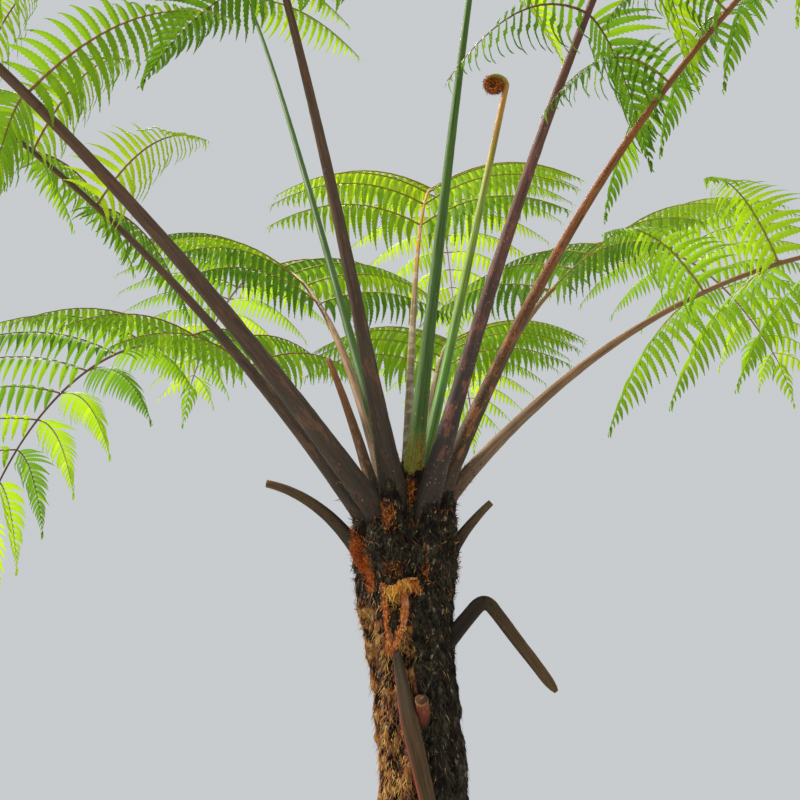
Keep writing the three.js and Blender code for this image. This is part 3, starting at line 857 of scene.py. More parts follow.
def stalk_skin(
    line: Midline, along: Array, radii: Array, sides: int, outline: Callable[[Array], Array]
) -> Skin:
    """Skins a stalk: rings across its midline, each an outline of radius shares over the turn.

    Args:
        line: The stalk's midline.
        along: Distances of the rings from the foot.
        radii: Radius at each ring.
        sides: Points of a ring.
        outline: Gives the share of the radius at turns in radians, where a quarter turn is the upper side.

    Returns:
        The stalk, a little uneven where old scales stood.
    """
    roughness, fineness, seed = 0.035, (60, 1.6), 11
    point, _, across, upper = line.at(along)
    turn = 2 * np.pi * np.arange(sides) / sides
    rough = 1 + roughness * tube_noise(along, turn, fineness, seed)
    reach = radii[:, None] * outline(turn)[None] * rough
    x = (reach * np.cos(turn))[..., None]
    y = (reach * np.sin(turn))[..., None]
    points = point[:, None] + across[:, None] * x + upper[:, None] * y
    return ring_skin(points)


def grooved(turn: Array) -> Array:
    """Outline of a living stalk: round, with a shallow groove along its upper side and flat flanks."""
    depth, spread, flatness = 0.14, 0.4, 0.04
    groove = np.exp(-(((turn - np.pi / 2) / spread) ** 2))
    return 1 - depth * groove + flatness * np.cos(2 * turn)


def shrunken(turn: Array) -> Array:
    """Outline of a dead stalk: dried into three folds with finer ridges on them."""
    fold, start, ridge = 0.09, 0.6, 0.06
    return 1 + fold * np.sin(3 * turn + start) + ridge * np.sin(7 * turn)


@dataclass(frozen=True)
class Frond:
    """One frond. Its name starts the names of its nodes and pieces.

    Attributes:
        bare: Length of the stalk below the leaf.
        reach: Length of its longest pinna.
        girth: Thickness of the stalk's foot.
        leave, lift: Angle at which the first pinnae leave it, and their lift out of the leaf's plane.
        droop: How far a pinna falls by its tip, as a share of its length.
        slim: How much slimmer the stalk is than a straight taper, from slim_from of its way.
        split, young: Whether its leaf is two nodes, and whether it is light.
        leaf_foot, leaf_tip: Thickness at the leaf's foot and tip as a share of the girth.
    """

    name: str
    look: StalkLook
    course: Course
    bare: float
    reach: float
    girth: float
    leave: float = 78.0
    lift: float = 30.0
    droop: float = 0.58
    slim: float = 0.24
    split: bool = False
    young: bool = False
    leaf_foot: float = 0.4
    leaf_tip: float = 0.14
    slim_from: float = 0.35

    @property
    def leaf_nodes(self) -> list[str]:
        """The CAD nodes of its leafy part."""
        tip = [f"{self.name}_leaf_tip"] if self.split else []
        return [f"{self.name}_leaf", *tip]

    def radius(self, along: Array) -> Array:
        """Radius: straight tapers to the leaf's foot and its tip, less the slim share, a quarter sine."""
        share = np.maximum(along, 0) / self.bare
        leafy = (along - self.bare) / (self.course.length - self.bare)
        above = self.leaf_foot - (self.leaf_foot - self.leaf_tip) * leafy
        taper = np.where(along < self.bare, 1 - (1 - self.leaf_foot) * share, above)
        slimmer = 1 - self.slim * np.sin(np.pi / 2 * np.minimum(share / self.slim_from, 1))
        return self.girth / 2 * taper * slimmer


class Whorl(Enum):
    """Where a frond stands in the crown, with the sizes that its whorl shares."""

    OUTER = {
        "foot": 0.074, "rise": 2.06, "length": 2.4, "bend": 1.6, "bare": 0.76, "reach": 0.48, "girth": 0.038,
    }
    MIDDLE = {
        "foot": 0.068, "rise": 2.092, "length": 2.7, "bend": 1.5, "bare": 0.93, "reach": 0.5, "girth": 0.044,
    }
    INNER = {
        "foot": 0.04, "rise": 2.15, "length": 2.45, "bend": 3.0, "bare": 0.96, "reach": 0.42, "girth": 0.029,
    }


SPLIT_TURN = 62.0


def whorled(
    whorl: Whorl, name: str, look: StalkLook, azimuth: float, lean: float, arch: float, **own: float
) -> Frond:
    """Gives a frond its whorl's sizes and its own.

    The leaf's turn is arch * (1 - (bare / length)^bend), and one that turns over SPLIT_TURN is two nodes.

    Args:
        whorl: Its whorl. The fronds of the inner one are young.
        name, look, azimuth, lean, arch: As in Frond and Course.
        own: Sizes that it doesn't share with its whorl, by the names of Course and Frond.
    """
    sizes = whorl.value | own
    path = {key: sizes[key] for key in ("foot", "rise", "length", "bend", "sweep", "roll") if key in sizes}
    course = Course(azimuth, lean, arch, **path)
    turn = arch * (1 - (sizes["bare"] / course.length) ** course.bend)
    rest = {key: size for key, size in sizes.items() if key not in path}
    return Frond(name, look, course, split=turn >= SPLIT_TURN, young=whorl is Whorl.INNER, **rest)


FRONDS = [
    whorled(
        Whorl.MIDDLE, "left_high", StalkLook.BROWN, -136, 50, 62,
        rise=2.06, length=2.6, bare=0.855, reach=0.57, leave=88, lift=35, slim=0.1,
    ),
    whorled(
        Whorl.MIDDLE, "front_left", StalkLook.BROWN, -113, 28, 58,
        foot=0.062, rise=2.106, bare=0.84, slim=0.33,
    ),
    whorled(
        Whorl.MIDDLE, "front_right", StalkLook.PURPLE, -58, 30, 64,
        rise=2.086, bare=0.82, reach=0.44, roll=27, leave=90, lift=10, droop=0.72,
    ),
    whorled(
        Whorl.MIDDLE, "right_high", StalkLook.RUST, -33, 29, 98,
        rise=2.102, bare=0.8, reach=0.46, girth=0.04, roll=19, leave=92, lift=36, droop=0.85,
    ),
    whorled(
        Whorl.OUTER, "right_low", StalkLook.TAN, -9, 42, 126,
        sweep=24, bend=1.3, rise=2.105, length=2.3, bare=0.59, girth=0.033, roll=-16, leave=105, lift=35,
    ),
    whorled(Whorl.MIDDLE, "back_right", StalkLook.TAN, 52, 31, 86, length=2.5, bare=0.78, girth=0.036),
    whorled(Whorl.OUTER, "back_low", StalkLook.TAN, 83, 42, 61),
    whorled(Whorl.MIDDLE, "back_left", StalkLook.TAN, 112, 31, 84, length=2.5, bare=0.78, girth=0.036),
    whorled(
        Whorl.OUTER, "left_low", StalkLook.BROWN, 137, 36, 140,
        rise=2.062, length=2.1, bare=0.56, girth=0.032, roll=-10,
    ),
    whorled(
        Whorl.OUTER, "left_mid", StalkLook.BROWN, 192, 38, 72,
        length=2.5, bare=0.74, reach=0.55, leave=92, lift=38,
    ),
    whorled(
        Whorl.INNER, "left_young", StalkLook.GREEN, 142, 18, 70,
        bend=4.0, rise=2.165, length=2.6, bare=1.34, girth=0.025,
    ),
    whorled(Whorl.INNER, "front_young", StalkLook.GREEN, -63, 14.5, 60, foot=0.032, girth=0.034),
    whorled(
        Whorl.INNER, "back_young", StalkLook.BANDED, 84, 13, 98,
        bend=1.2, length=2.4, bare=0.77, reach=0.5, girth=0.024,
    ),
]


@dataclass(frozen=True)
class PinnaRule:
    """Where the pinnae stand along a frond and how they run, as in the part's source.

    Shares of a pinna's length are of the longest one's, which stands at widest of the way. first_pair is
    in spacings. tip_root and tip_blade are the start and the length of the pinna that ends the frond.
    """

    spacing: float = 0.122
    crowding: float = 0.3
    tip_angle: float = 48.0
    foot_share: float = 0.8
    tip_share: float = 0.22
    widest: float = 0.42
    tip_fall: float = 1.7
    first_pair: float = 0.15
    tip_root: float = 0.045
    tip_blade: float = 0.28

    def reach_share(self, share: Array) -> Array:
        """Length of a pinna as a share of the longest: a quarter sine up, then a power down to the tip."""
        opened = np.sin(np.pi / 2 * np.minimum(share / self.widest, 1))
        rising = self.foot_share + (1 - self.foot_share) * opened
        past = np.maximum((share - self.widest) / (1 - self.widest), 0)
        return rising * (1 - (1 - self.tip_share) * past**self.tip_fall)


@dataclass
class Pinnae:
    """The pinnae of one frond, both sides and the one that ends it, as arrays with a row for each.

    A pinna's costa starts at its root, runs along its heading and droops with the square of the way.
    """

    roots: Array
    axes: Array
    headings: Array
    reaches: Array
    spacings: Array
    shares: Array
    droop: float

    def costa(self, share: Array) -> Array:
        """Points of every costa at shares of its length, shaped (pinnae, shares, 3)."""
        run = self.reaches[:, None, None] * share[None, :, None]
        fall = DOWN * self.droop * run * share[None, :, None]
        return self.roots[:, None] + self.headings[:, None] * run + fall

    def ways(self, number: Array, share: Array) -> Array:
        """The unit vector along a costa, for pairs of a pinna's number and a share of its length."""
        return unit(self.headings[number] + DOWN * (2 * self.droop * share)[:, None])


def frond_pinnae(frond: Frond, line: Midline, rule: PinnaRule) -> Pinnae:
    """Stands the pinnae on a frond in pairs by the rule of the part's source, and one at its end."""
    leaf = frond.course.length - frond.bare
    count = round(leaf / rule.spacing)
    even = (np.arange(count) + rule.first_pair) / count
    share = even * (1 + rule.crowding * (1 - even))
    spacing = leaf / count * (1 + rule.crowding * (1 - 2 * even))
    point, ahead, across, upper = line.at(frond.bare + leaf * share)
    leave = np.radians(frond.leave + (rule.tip_angle - frond.leave) * share**2)[:, None]
    lift = math.radians(frond.lift)
    lifted = ahead * np.cos(leave) + upper * math.sin(lift) * np.sin(leave)
    aside = across * math.cos(lift) * np.sin(leave)
    reach = frond.reach * rule.reach_share(share)
    end, end_ahead, end_across, _ = line.at(np.array([frond.course.length - rule.tip_root]))
    return Pinnae(
        roots=np.concatenate([point, point, end]),
        axes=np.concatenate([ahead, ahead, end_across]),
        headings=np.concatenate([lifted - aside, lifted + aside, end_ahead]),
        reaches=np.concatenate([reach, reach, [frond.reach * rule.tip_blade]]),
        spacings=np.concatenate([spacing, spacing, spacing[-1:]]),
        shares=np.concatenate([share, share, [1.0]]),
        droop=frond.droop,
    )


@dataclass(frozen=True)
class Leaflet:
    """A pinnule's outline in shares of its length and half its width: a blade with forward teeth.

    Attributes:
        teeth, tooth: Teeth on each side, and how deep they are cut.
        segments: Straight stretches of its midrib.
        forward: How far a tooth points past its middle, as a share of its base.
        foot, full_by: Width at its foot, and the way by which it has its full width.
        closing: Power of the way by which it closes to a point.
        toothed: Share of the way that has teeth.
        tooth_back: How far back a tooth's point takes its width from.
    """

    teeth: int = 12
    segments: int = 4
    tooth: float = 0.27
    forward: float = 0.35
    foot: float = 0.6
    full_by: float = 0.2
    closing: float = 1.7
    toothed: float = 0.98
    tooth_back: float = 0.04

    def half_width(self, share: Array) -> Array:
        """Half the blade's width: a quarter sine up from the foot's, times 1 - share^closing."""
        opened = np.sin(np.pi / 2 * np.minimum(share / self.full_by, 1))
        return (self.foot + (1 - self.foot) * opened) * (1 - share**self.closing)

    def template(self) -> tuple[Array, Array, Array]:
        """Works out the blade.

        Returns:
            Shares along and signed shares across for every point, and the faces. The midrib's points
            come first, then for each side the notches and the points of the teeth.
        """
        rib = np.arange(self.segments + 1) / self.segments
        notch = np.arange(self.teeth) / self.teeth * self.toothed
        point = notch + (0.5 + self.forward) / self.teeth
        inner = self.half_width(notch) * (1 - self.tooth)
        outer = self.half_width(point - self.tooth_back)
        starts = (len(rib), len(rib) + 2 * self.teeth)
        faces = [self.side_faces(start, side) for start, side in zip(starts, (-1, 1))]
        along = np.concatenate([rib, notch, point, notch, point])
        across = np.concatenate([np.zeros_like(rib), -inner, -outer, inner, outer])
        return along, across, np.concatenate(faces)

    def side_faces(self, start: int, side: int) -> Array:
        """Faces of one side, whose points begin at number start.

        They are a triangle for each tooth, one from each notch and the next to the midrib's nearest point,
        and one from each stretch of the midrib to the notch at which the nearest point moves on.
        """
        notches = np.append(start + np.arange(self.teeth), self.segments)
        points = start + self.teeth + np.arange(self.teeth)
        near = np.round(np.arange(self.teeth) / self.teeth * self.segments).astype(int)
        stretch = np.arange(near[-1])
        teeth = np.stack([notches[:-1], points, notches[1:]], axis=-1)
        strip = np.stack([near, notches[:-1], notches[1:]], axis=-1)
        inner = np.stack([stretch, notches[np.searchsorted(near, stretch + 1)], stretch + 1], axis=-1)
        faces = np.concatenate([teeth, strip[near != notches[1:]], inner])
        return faces if side > 0 else faces[:, ::-1]


@dataclass(frozen=True)
class FrondLeaves:
    """The fine leaf of a frond: costae, and pinnules in rows along both sides of each.

    Attributes:
        step: Distance between pinnules on one side of a costa.
        length: Length of the longest pinnules as a share of the space between pinnae.
        width: Width as a share of the distance to the next, and at most slender of its length.
        hang: How far a pinnule's foot and the rest of it turn down, in degrees.
        fold: How far its halves fold down, as a share of half its width.
        leave: Angle at which it leaves the costa, at the costa's foot and tip.
        foot_length: Length of the first as a share of the longest, which stand from full_by on.
        closing: Power of the way along the costa by which they shorten.
    """

    rule: PinnaRule = PinnaRule()
    leaflet: Leaflet = Leaflet()
    step: float = 0.0188
    length: float = 0.69
    width: float = 0.84
    slender: float = 0.4
    hang: Pair = (20.0, 52.0)
    fold: float = 0.35
    leave: Pair = (74.0, 48.0)
    foot_length: float = 0.62
    full_by: float = 0.22
    closing: float = 2.3
    seed: int = 7

    def dress(self, frond: Frond, form: TrunkForm, looks: "Looks") -> None:
        """Makes the ribs and the pinnules of one frond."""
        line = Midline(frond.course, form)
        pinnae = frond_pinnae(frond, line, self.rule)
        ribs = self.rib_skin(frond, line, pinnae)
        dress_piece(f"{frond.name}_ribs", ribs, looks.ribs(frond.look), frond.leaf_nodes)
        leaves = self.leaf_skin(frond, pinnae)
        dress_piece(f"{frond.name}_pinnules", leaves, looks.leaves, frond.leaf_nodes, smooth=False)

    def rib_skin(self, frond: Frond, line: Midline, pinnae: Pinnae) -> Skin:
        """The midrib on from the stalk's end, and a tapering costa for each pinna."""
        overlap, midrib_rings, midrib_sides, midrib_look = 0.004, 90, 10, 0.85
        costa_end, costa_rings, costa_sides, thickest, least, taper = 0.97, 12, 5, 0.0027, 0.45, 0.82
        along = np.linspace(frond.bare - overlap, frond.course.length - self.rule.tip_root, midrib_rings)
        midrib = stalk_skin(line, along, frond.radius(along), midrib_sides, grooved)
        midrib.move_places(midrib_look, 1)
        share = np.linspace(0, costa_end, costa_rings)
        reach_share = pinnae.reaches / frond.reach
        thick = thickest * (least + (1 - least) * reach_share)
        radii = thick[:, None] * (1 - taper * share[None])
        finishes = np.ones(len(thick), dtype=int)
        return join([midrib, thin_tubes(pinnae.costa(share), radii, costa_sides, finishes)])

    def leaf_skin(self, frond: Frond, pinnae: Pinnae) -> Skin:
        """All pinnules of a frond.

        Each bends in one plane: its way turns from its heading towards the ground by an angle that
        grows evenly with the way along it, so its midrib is an arc of a circle. Its length is the longest
        pinnule's, times a smooth rise from the costa's foot, times 1 - share^closing. The normal draws
        make each leave, bend and reach a little otherwise.
        """
        shortest, last_leave, last_length, lighter_share = 0.008, 7.0, 0.026, 0.2
        rng = np.random.default_rng(self.seed + sum(map(ord, frond.name)))
        number, side, share, step = self.places(pinnae)
        way = pinnae.ways(number, share)
        axis = pinnae.axes[number]
        flank = unit(axis - way * dot(axis, way)) * side[:, None]
        last = np.diff(number, append=-1) != 0
        near, far = self.leave
        leave = near - (near - far) * share**2 + rng.normal(0, 2, len(share))
        leave = np.radians(np.where(last, last_leave, leave))[:, None]
        heading = unit(flank * np.sin(leave) + way * np.cos(leave))
        root = pinnae.roots[number] + pinnae.headings[number] * (pinnae.reaches[number] * share)[:, None]
        root = root + DOWN * (pinnae.droop * pinnae.reaches[number] * share**2)[:, None]
        size = self.foot_length + (1 - self.foot_length) * smoothstep(0, self.full_by, share)
        size = size * (1 - share**self.closing)
        length = np.maximum(self.length * pinnae.spacings[number] * size, shortest)
        length = np.where(last, last_length, length * rng.normal(1, 0.05, len(share)))
        width = np.minimum(self.width * step, self.slender * length)
        pinna_hang = rng.normal(0, 5, len(pinnae.roots))[number]
        foot = np.radians(self.hang[0] + rng.normal(0, 3, len(share)))
        rest = np.radians(self.hang[1] + pinna_hang + rng.normal(0, 4, len(share)))
        points, block = self.bend(root, heading, way, length, width, foot, rest)
        tones = self.tones(frond, pinnae, rng)[number]
        lighter = rng.random(len(tones)) < lighter_share * share
        tones = np.where(lighter & (tones < GOLDEN), np.maximum(tones - 1, 0), tones)
        starts = (np.arange(len(share)) * points.shape[1])[:, None, None]
        faces = (block[None] + starts).reshape(-1, 3)
        places = np.zeros((len(faces), 3, 2))
        return Skin(points.reshape(-1, 3), [faces], [places], [np.repeat(tones, len(block))])

    def places(self, pinnae: Pinnae) -> tuple[Array, Array, Array, Array]:
        """Pinna number, side, share of the way along the costa and distance to the next, for each pinnule.

        They stand in a row on each side, closer towards the tip, one side a quarter step on, and the one
        that ends the costa comes last.
        """
        first, room, offset, fewest = 0.9, 0.6, 0.25, 4
        crowding, last_share, furthest = 0.38, 0.955, 0.99
        rows = []
        for number, reach in enumerate(pinnae.reaches):
            count = max(fewest, round(reach / self.step))
            even = (np.arange(count) + first) / (count + room)
            share = even * (1 + crowding * (1 - even))
            step = reach / (count + room) * (1 + crowding * (1 - 2 * even))
            shares = np.concatenate([share, share + offset / count, [last_share]])
            sides = np.concatenate([np.full(count, -1), np.full(count, 1), [1]])
            steps = np.concatenate([step, step, step[-1:]])
            rows.append(np.stack([np.full(len(sides), number), sides, shares, steps]))
        number, side, share, step = np.concatenate(rows, axis=1)
        return number.astype(int), side, np.minimum(share, furthest), step

    def bend(
        self, root: Array, heading: Array, way: Array, length: Array, width: Array, foot: Array, rest: Array
    ) -> tuple[Array, Array]:
        """Lays the leaflet's outline along arcs.

        With t the share of the way and a the angle foot + rest * t, the arc is the sum of heading * cos(a)
        and fall * sin(a) from 0 to t, times the length. The width turns with it about the hinge, and both
        halves fold down from the midrib.

        Args:
            root: Where each pinnule stands.
            heading: The way it leaves the costa.
            way: The costa's own way, in the blade's plane.
            length, width: Its size.
            foot, rest: Its turn towards the ground at its foot, and how much further it turns.

        Returns:
            Points, shaped (pinnules, points, 3), and the faces of one pinnule.
        """
        along, across, faces = self.leaflet.template()
        hinge = unit(np.cross(heading, DOWN))
        fall = np.cross(hinge, heading)
        blade = unit(way - heading * dot(way, heading))
        steady, turning = dot(blade, hinge), dot(blade, fall)
        angle = foot[:, None] + rest[:, None] * along[None]
        ahead = ((np.sin(angle) - np.sin(foot)[:, None]) / rest[:, None])[..., None]
        sunk = ((np.cos(foot)[:, None] - np.cos(angle)) / rest[:, None])[..., None]
        middle = root[:, None] + length[:, None, None] * (heading[:, None] * ahead + fall[:, None] * sunk)
        cos, sin = np.cos(angle)[..., None], np.sin(angle)[..., None]
        aside = (hinge * steady)[:, None] + turning[:, None] * (fall[:, None] * cos - heading[:, None] * sin)
        onward = heading[:, None] * cos + fall[:, None] * sin
        under = np.cross(aside, onward)
        under = under * np.where(under @ DOWN < 0, -1, 1)[..., None]
        half = (width / 2)[:, None, None] * across[None, :, None]
        return middle + aside * half + under * np.abs(half) * self.fold, faces

    def tones(self, frond: Frond, pinnae: Pinnae, rng: Draws) -> Array:
        """Deals the greens out by pinna: lighter towards the tip, lightest on young fronds."""
        by_tip, by_youth, golden = 0.35, 0.35, 0.012
        light = by_tip * pinnae.shares + rng.normal(0.25, 0.22, len(pinnae.shares))
        light = light + (by_youth if frond.young else 0)
        tones = np.digitize(-light, [-0.75, -0.45, -0.15])
        return np.where(rng.random(len(tones)) < golden, GOLDEN, tones)


@dataclass
class Dresser:
    """A sub-assembly, with the trunk's plain form that it stands on and the finishes that it takes."""

    form: TrunkForm
    looks: "Looks"

    def dress_stalk(self, node: str, skin: Skin, look: StalkLook) -> None:
        """Makes the piece of one stalk."""
        dress_piece(f"{node}_skin", skin, [self.looks.stalks[look]], [node])


@dataclass
class Stalks(Dresser):
    """The bare stalks of the living fronds, each with a widened foot that runs down into the crown.

    A stalk goes on inside the crown by sunk, and widens at its foot by the share flare of its thickness,
    which falls to 1 / e over flare_run.
    """

    sunk: float = 0.09
    flare: float = 0.08
    flare_run: float = 0.045
    ring_step: float = 0.009
    sides: int = 22

    def dress(self) -> None:
        """Makes each frond's stalk."""
        for frond in FRONDS:
            line = Midline(frond.course, self.form)
            along = np.linspace(-self.sunk, frond.bare, round((frond.bare + self.sunk) / self.ring_step))
            foot = 1 + self.flare * np.exp(-np.maximum(along, 0) / self.flare_run)
            skin = stalk_skin(line, along, frond.radius(along) * foot, self.sides, grooved)
            self.dress_stalk(f"{frond.name}_stalk", skin, frond.look)


@dataclass(frozen=True)
class Stub:
    """A dead or broken stalk that still stands on the trunk, with its girth at the foot and at the tip."""

    name: str
    look: StalkLook
    course: Course
    girth: float
    tip: float


STUBS = [
    Stub("dead_stub_left", StalkLook.DEAD, Course(181, 32, 46, 0.066, 1.972, 0.255), 0.029, 0.013),
    Stub("dead_stub_right", StalkLook.DEAD, Course(-4, 34, 14, 0.066, 1.999, 0.122), 0.021, 0.011),
    Stub("broken_stalk_left", StalkLook.RUST, Course(158, 17, 6, 0.058, 2.105, 0.31), 0.022, 0.01),
    Stub("cut_stub_front", StalkLook.CUT, Course(-88, 42, 8, 0.065, 1.722, 0.036), 0.021, 0.018),
]


@dataclass
class DeadStalks(Dresser):
    """Stubs, the stalk that broke at a kink and the stalk that hangs down the trunk.

    places are the broken stalk's foot, kink and tip, each a distance from the trunk's middle and a height.
    """

    azimuth: float = -14.0
    places: tuple[Pair, Pair, Pair] = ((0.04, 1.83), (0.122, 1.921), (0.236, 1.762))

    def dress(self) -> None:
        """Makes every dead piece."""
        for stub in STUBS:
            self.dress_stub(stub)
        self.dress_broken()
        self.dress_hanging()

    def dress_stub(self, stub: Stub) -> None:
        """A shrunken stalk: a straight taper, with a foot that widens by e to the minus way."""
        sunk, ring_step, flare, flare_run, sides = 0.045, 0.006, 0.4, 0.03, 18
        line = Midline(stub.course, self.form)
        rings = max(14, round(stub.course.length / ring_step))
        along = np.linspace(-sunk, stub.course.length, rings)
        out = np.maximum(along, 0)
        taper = (stub.girth + (stub.tip - stub.girth) * (out / stub.course.length)) / 2
        skin = stalk_skin(line, along, taper * (1 + flare * np.exp(-out / flare_run)), sides, shrunken)
        self.dress_stalk(stub.name, skin, stub.look)

    def dress_broken(self) -> None:
        """Two struts and the bend between them.

        The bend is the curve near * (1 - t)^2 + 2 * kink * t * (1 - t) + far * t^2 for t from 0 to 1, and
        each of the two nodes has one half of it. The end is torn: it narrows with a high power of the way.
        """
        rise, reach, wide, full, narrow, flat = 1.846, 0.024, 0.02875, 0.025, 0.018, 0.9
        turn_rings, run_rings, standing_share, tear, tear_power = 12, 26, 0.4, 0.6, 26.0
        axis = self.form.axis(rise)
        out = outward(self.azimuth)
        foot, kink, tip = [
            out * distance + np.array([axis[0], 0, height]) for distance, height in self.places
        ]
        near, far = [kink + unit(end - kink) * reach for end in (foot, tip)]
        turn = np.linspace(0, 0.5, turn_rings)[:, None]
        run = np.linspace(0, 1, run_rings)[1:, None]
        rising = near + (foot - near) * run[::-1]
        falling = far + (tip - far) * run
        first, second = [
            near * (1 - share) ** 2 + 2 * kink * share * (1 - share) + far * share**2
            for share in (turn, turn + 0.5)
        ]
        rings = turn_rings + run_rings - 1
        torn = 1 - tear * np.linspace(0, 1, rings) ** tear_power
        girths = np.linspace(wide, full, rings), np.linspace(full, narrow, rings) * torn
        halves = [
            ("broken_stalk_standing", [rising, first], girths[0], 0, standing_share),
            ("broken_stalk_hanging", [second, falling], girths[1], standing_share, 1),
        ]
        for node, stretches, girth, low, high in halves:
            skin = ring_skin(self.strap(np.concatenate(stretches), np.cross(out, UP), girth / 2, flat))
            skin.move_places(low, high)
            self.dress_stalk(node, skin, StalkLook.DEAD)

    def strap(self, centres: Array, out: Array, radii: Array, flat: float) -> Array:
        """Rings of a dried stalk along a line: ellipses with a channel, a bell curve cut into one side.

        Args:
            centres: The line.
            out: The way that the channel faces.
            radii: Half the width of each ring.
            flat: The thickness towards out as a share of the width.

        Returns:
            Points, shaped (rings, sides, 3).
        """
        sides, depth, spread, roughness, fineness, seed = 18, 0.45, 0.55, 0.05, (55, 1.5), 23
        ahead = unit(np.gradient(centres, axis=0))
        out = unit(out - ahead * dot(out, ahead))
        level = np.cross(out, ahead)
        turn = 2 * np.pi * np.arange(sides) / sides
        bell, back = [depth * np.exp(-(((turn - whole) / spread) ** 2)) for whole in (0, 2 * np.pi)]
        channel = 1 - bell - back
        rough = 1 + roughness * tube_noise(centres[:, 2], turn, fineness, seed)
        x = radii[:, None] * np.cos(turn) * channel * flat * rough
        y = radii[:, None] * np.sin(turn) * rough
        return centres[:, None] + out[:, None] * x[..., None] - level[:, None] * y[..., None]

    def dress_hanging(self) -> None:
        """A long strap that lies on the trunk and winds round it as it falls."""
        rings, lift, inside, flat = 110, 0.85, 0.94, 0.72
        high, low, start, end = 1.822, 1.24, -115.0, -42.0
        top, full, tip, full_by = 0.016, 0.034, 0.018, 0.22
        share = np.linspace(0, 1, rings)
        z = high + (low - high) * share
        azimuth = start + (end - start) * share
        opening = top + (full - top) * share / full_by
        radius = np.minimum(opening, full + (tip - full) * share) / 2
        out = outward(azimuth)
        centres = self.form.surface(z, np.radians(azimuth)) + out * (radius * lift)[:, None]
        skin = ring_skin(self.strap(centres, out, radius * inside, flat))
        self.dress_stalk("hanging_dead_stalk", skin, StalkLook.STRAP)


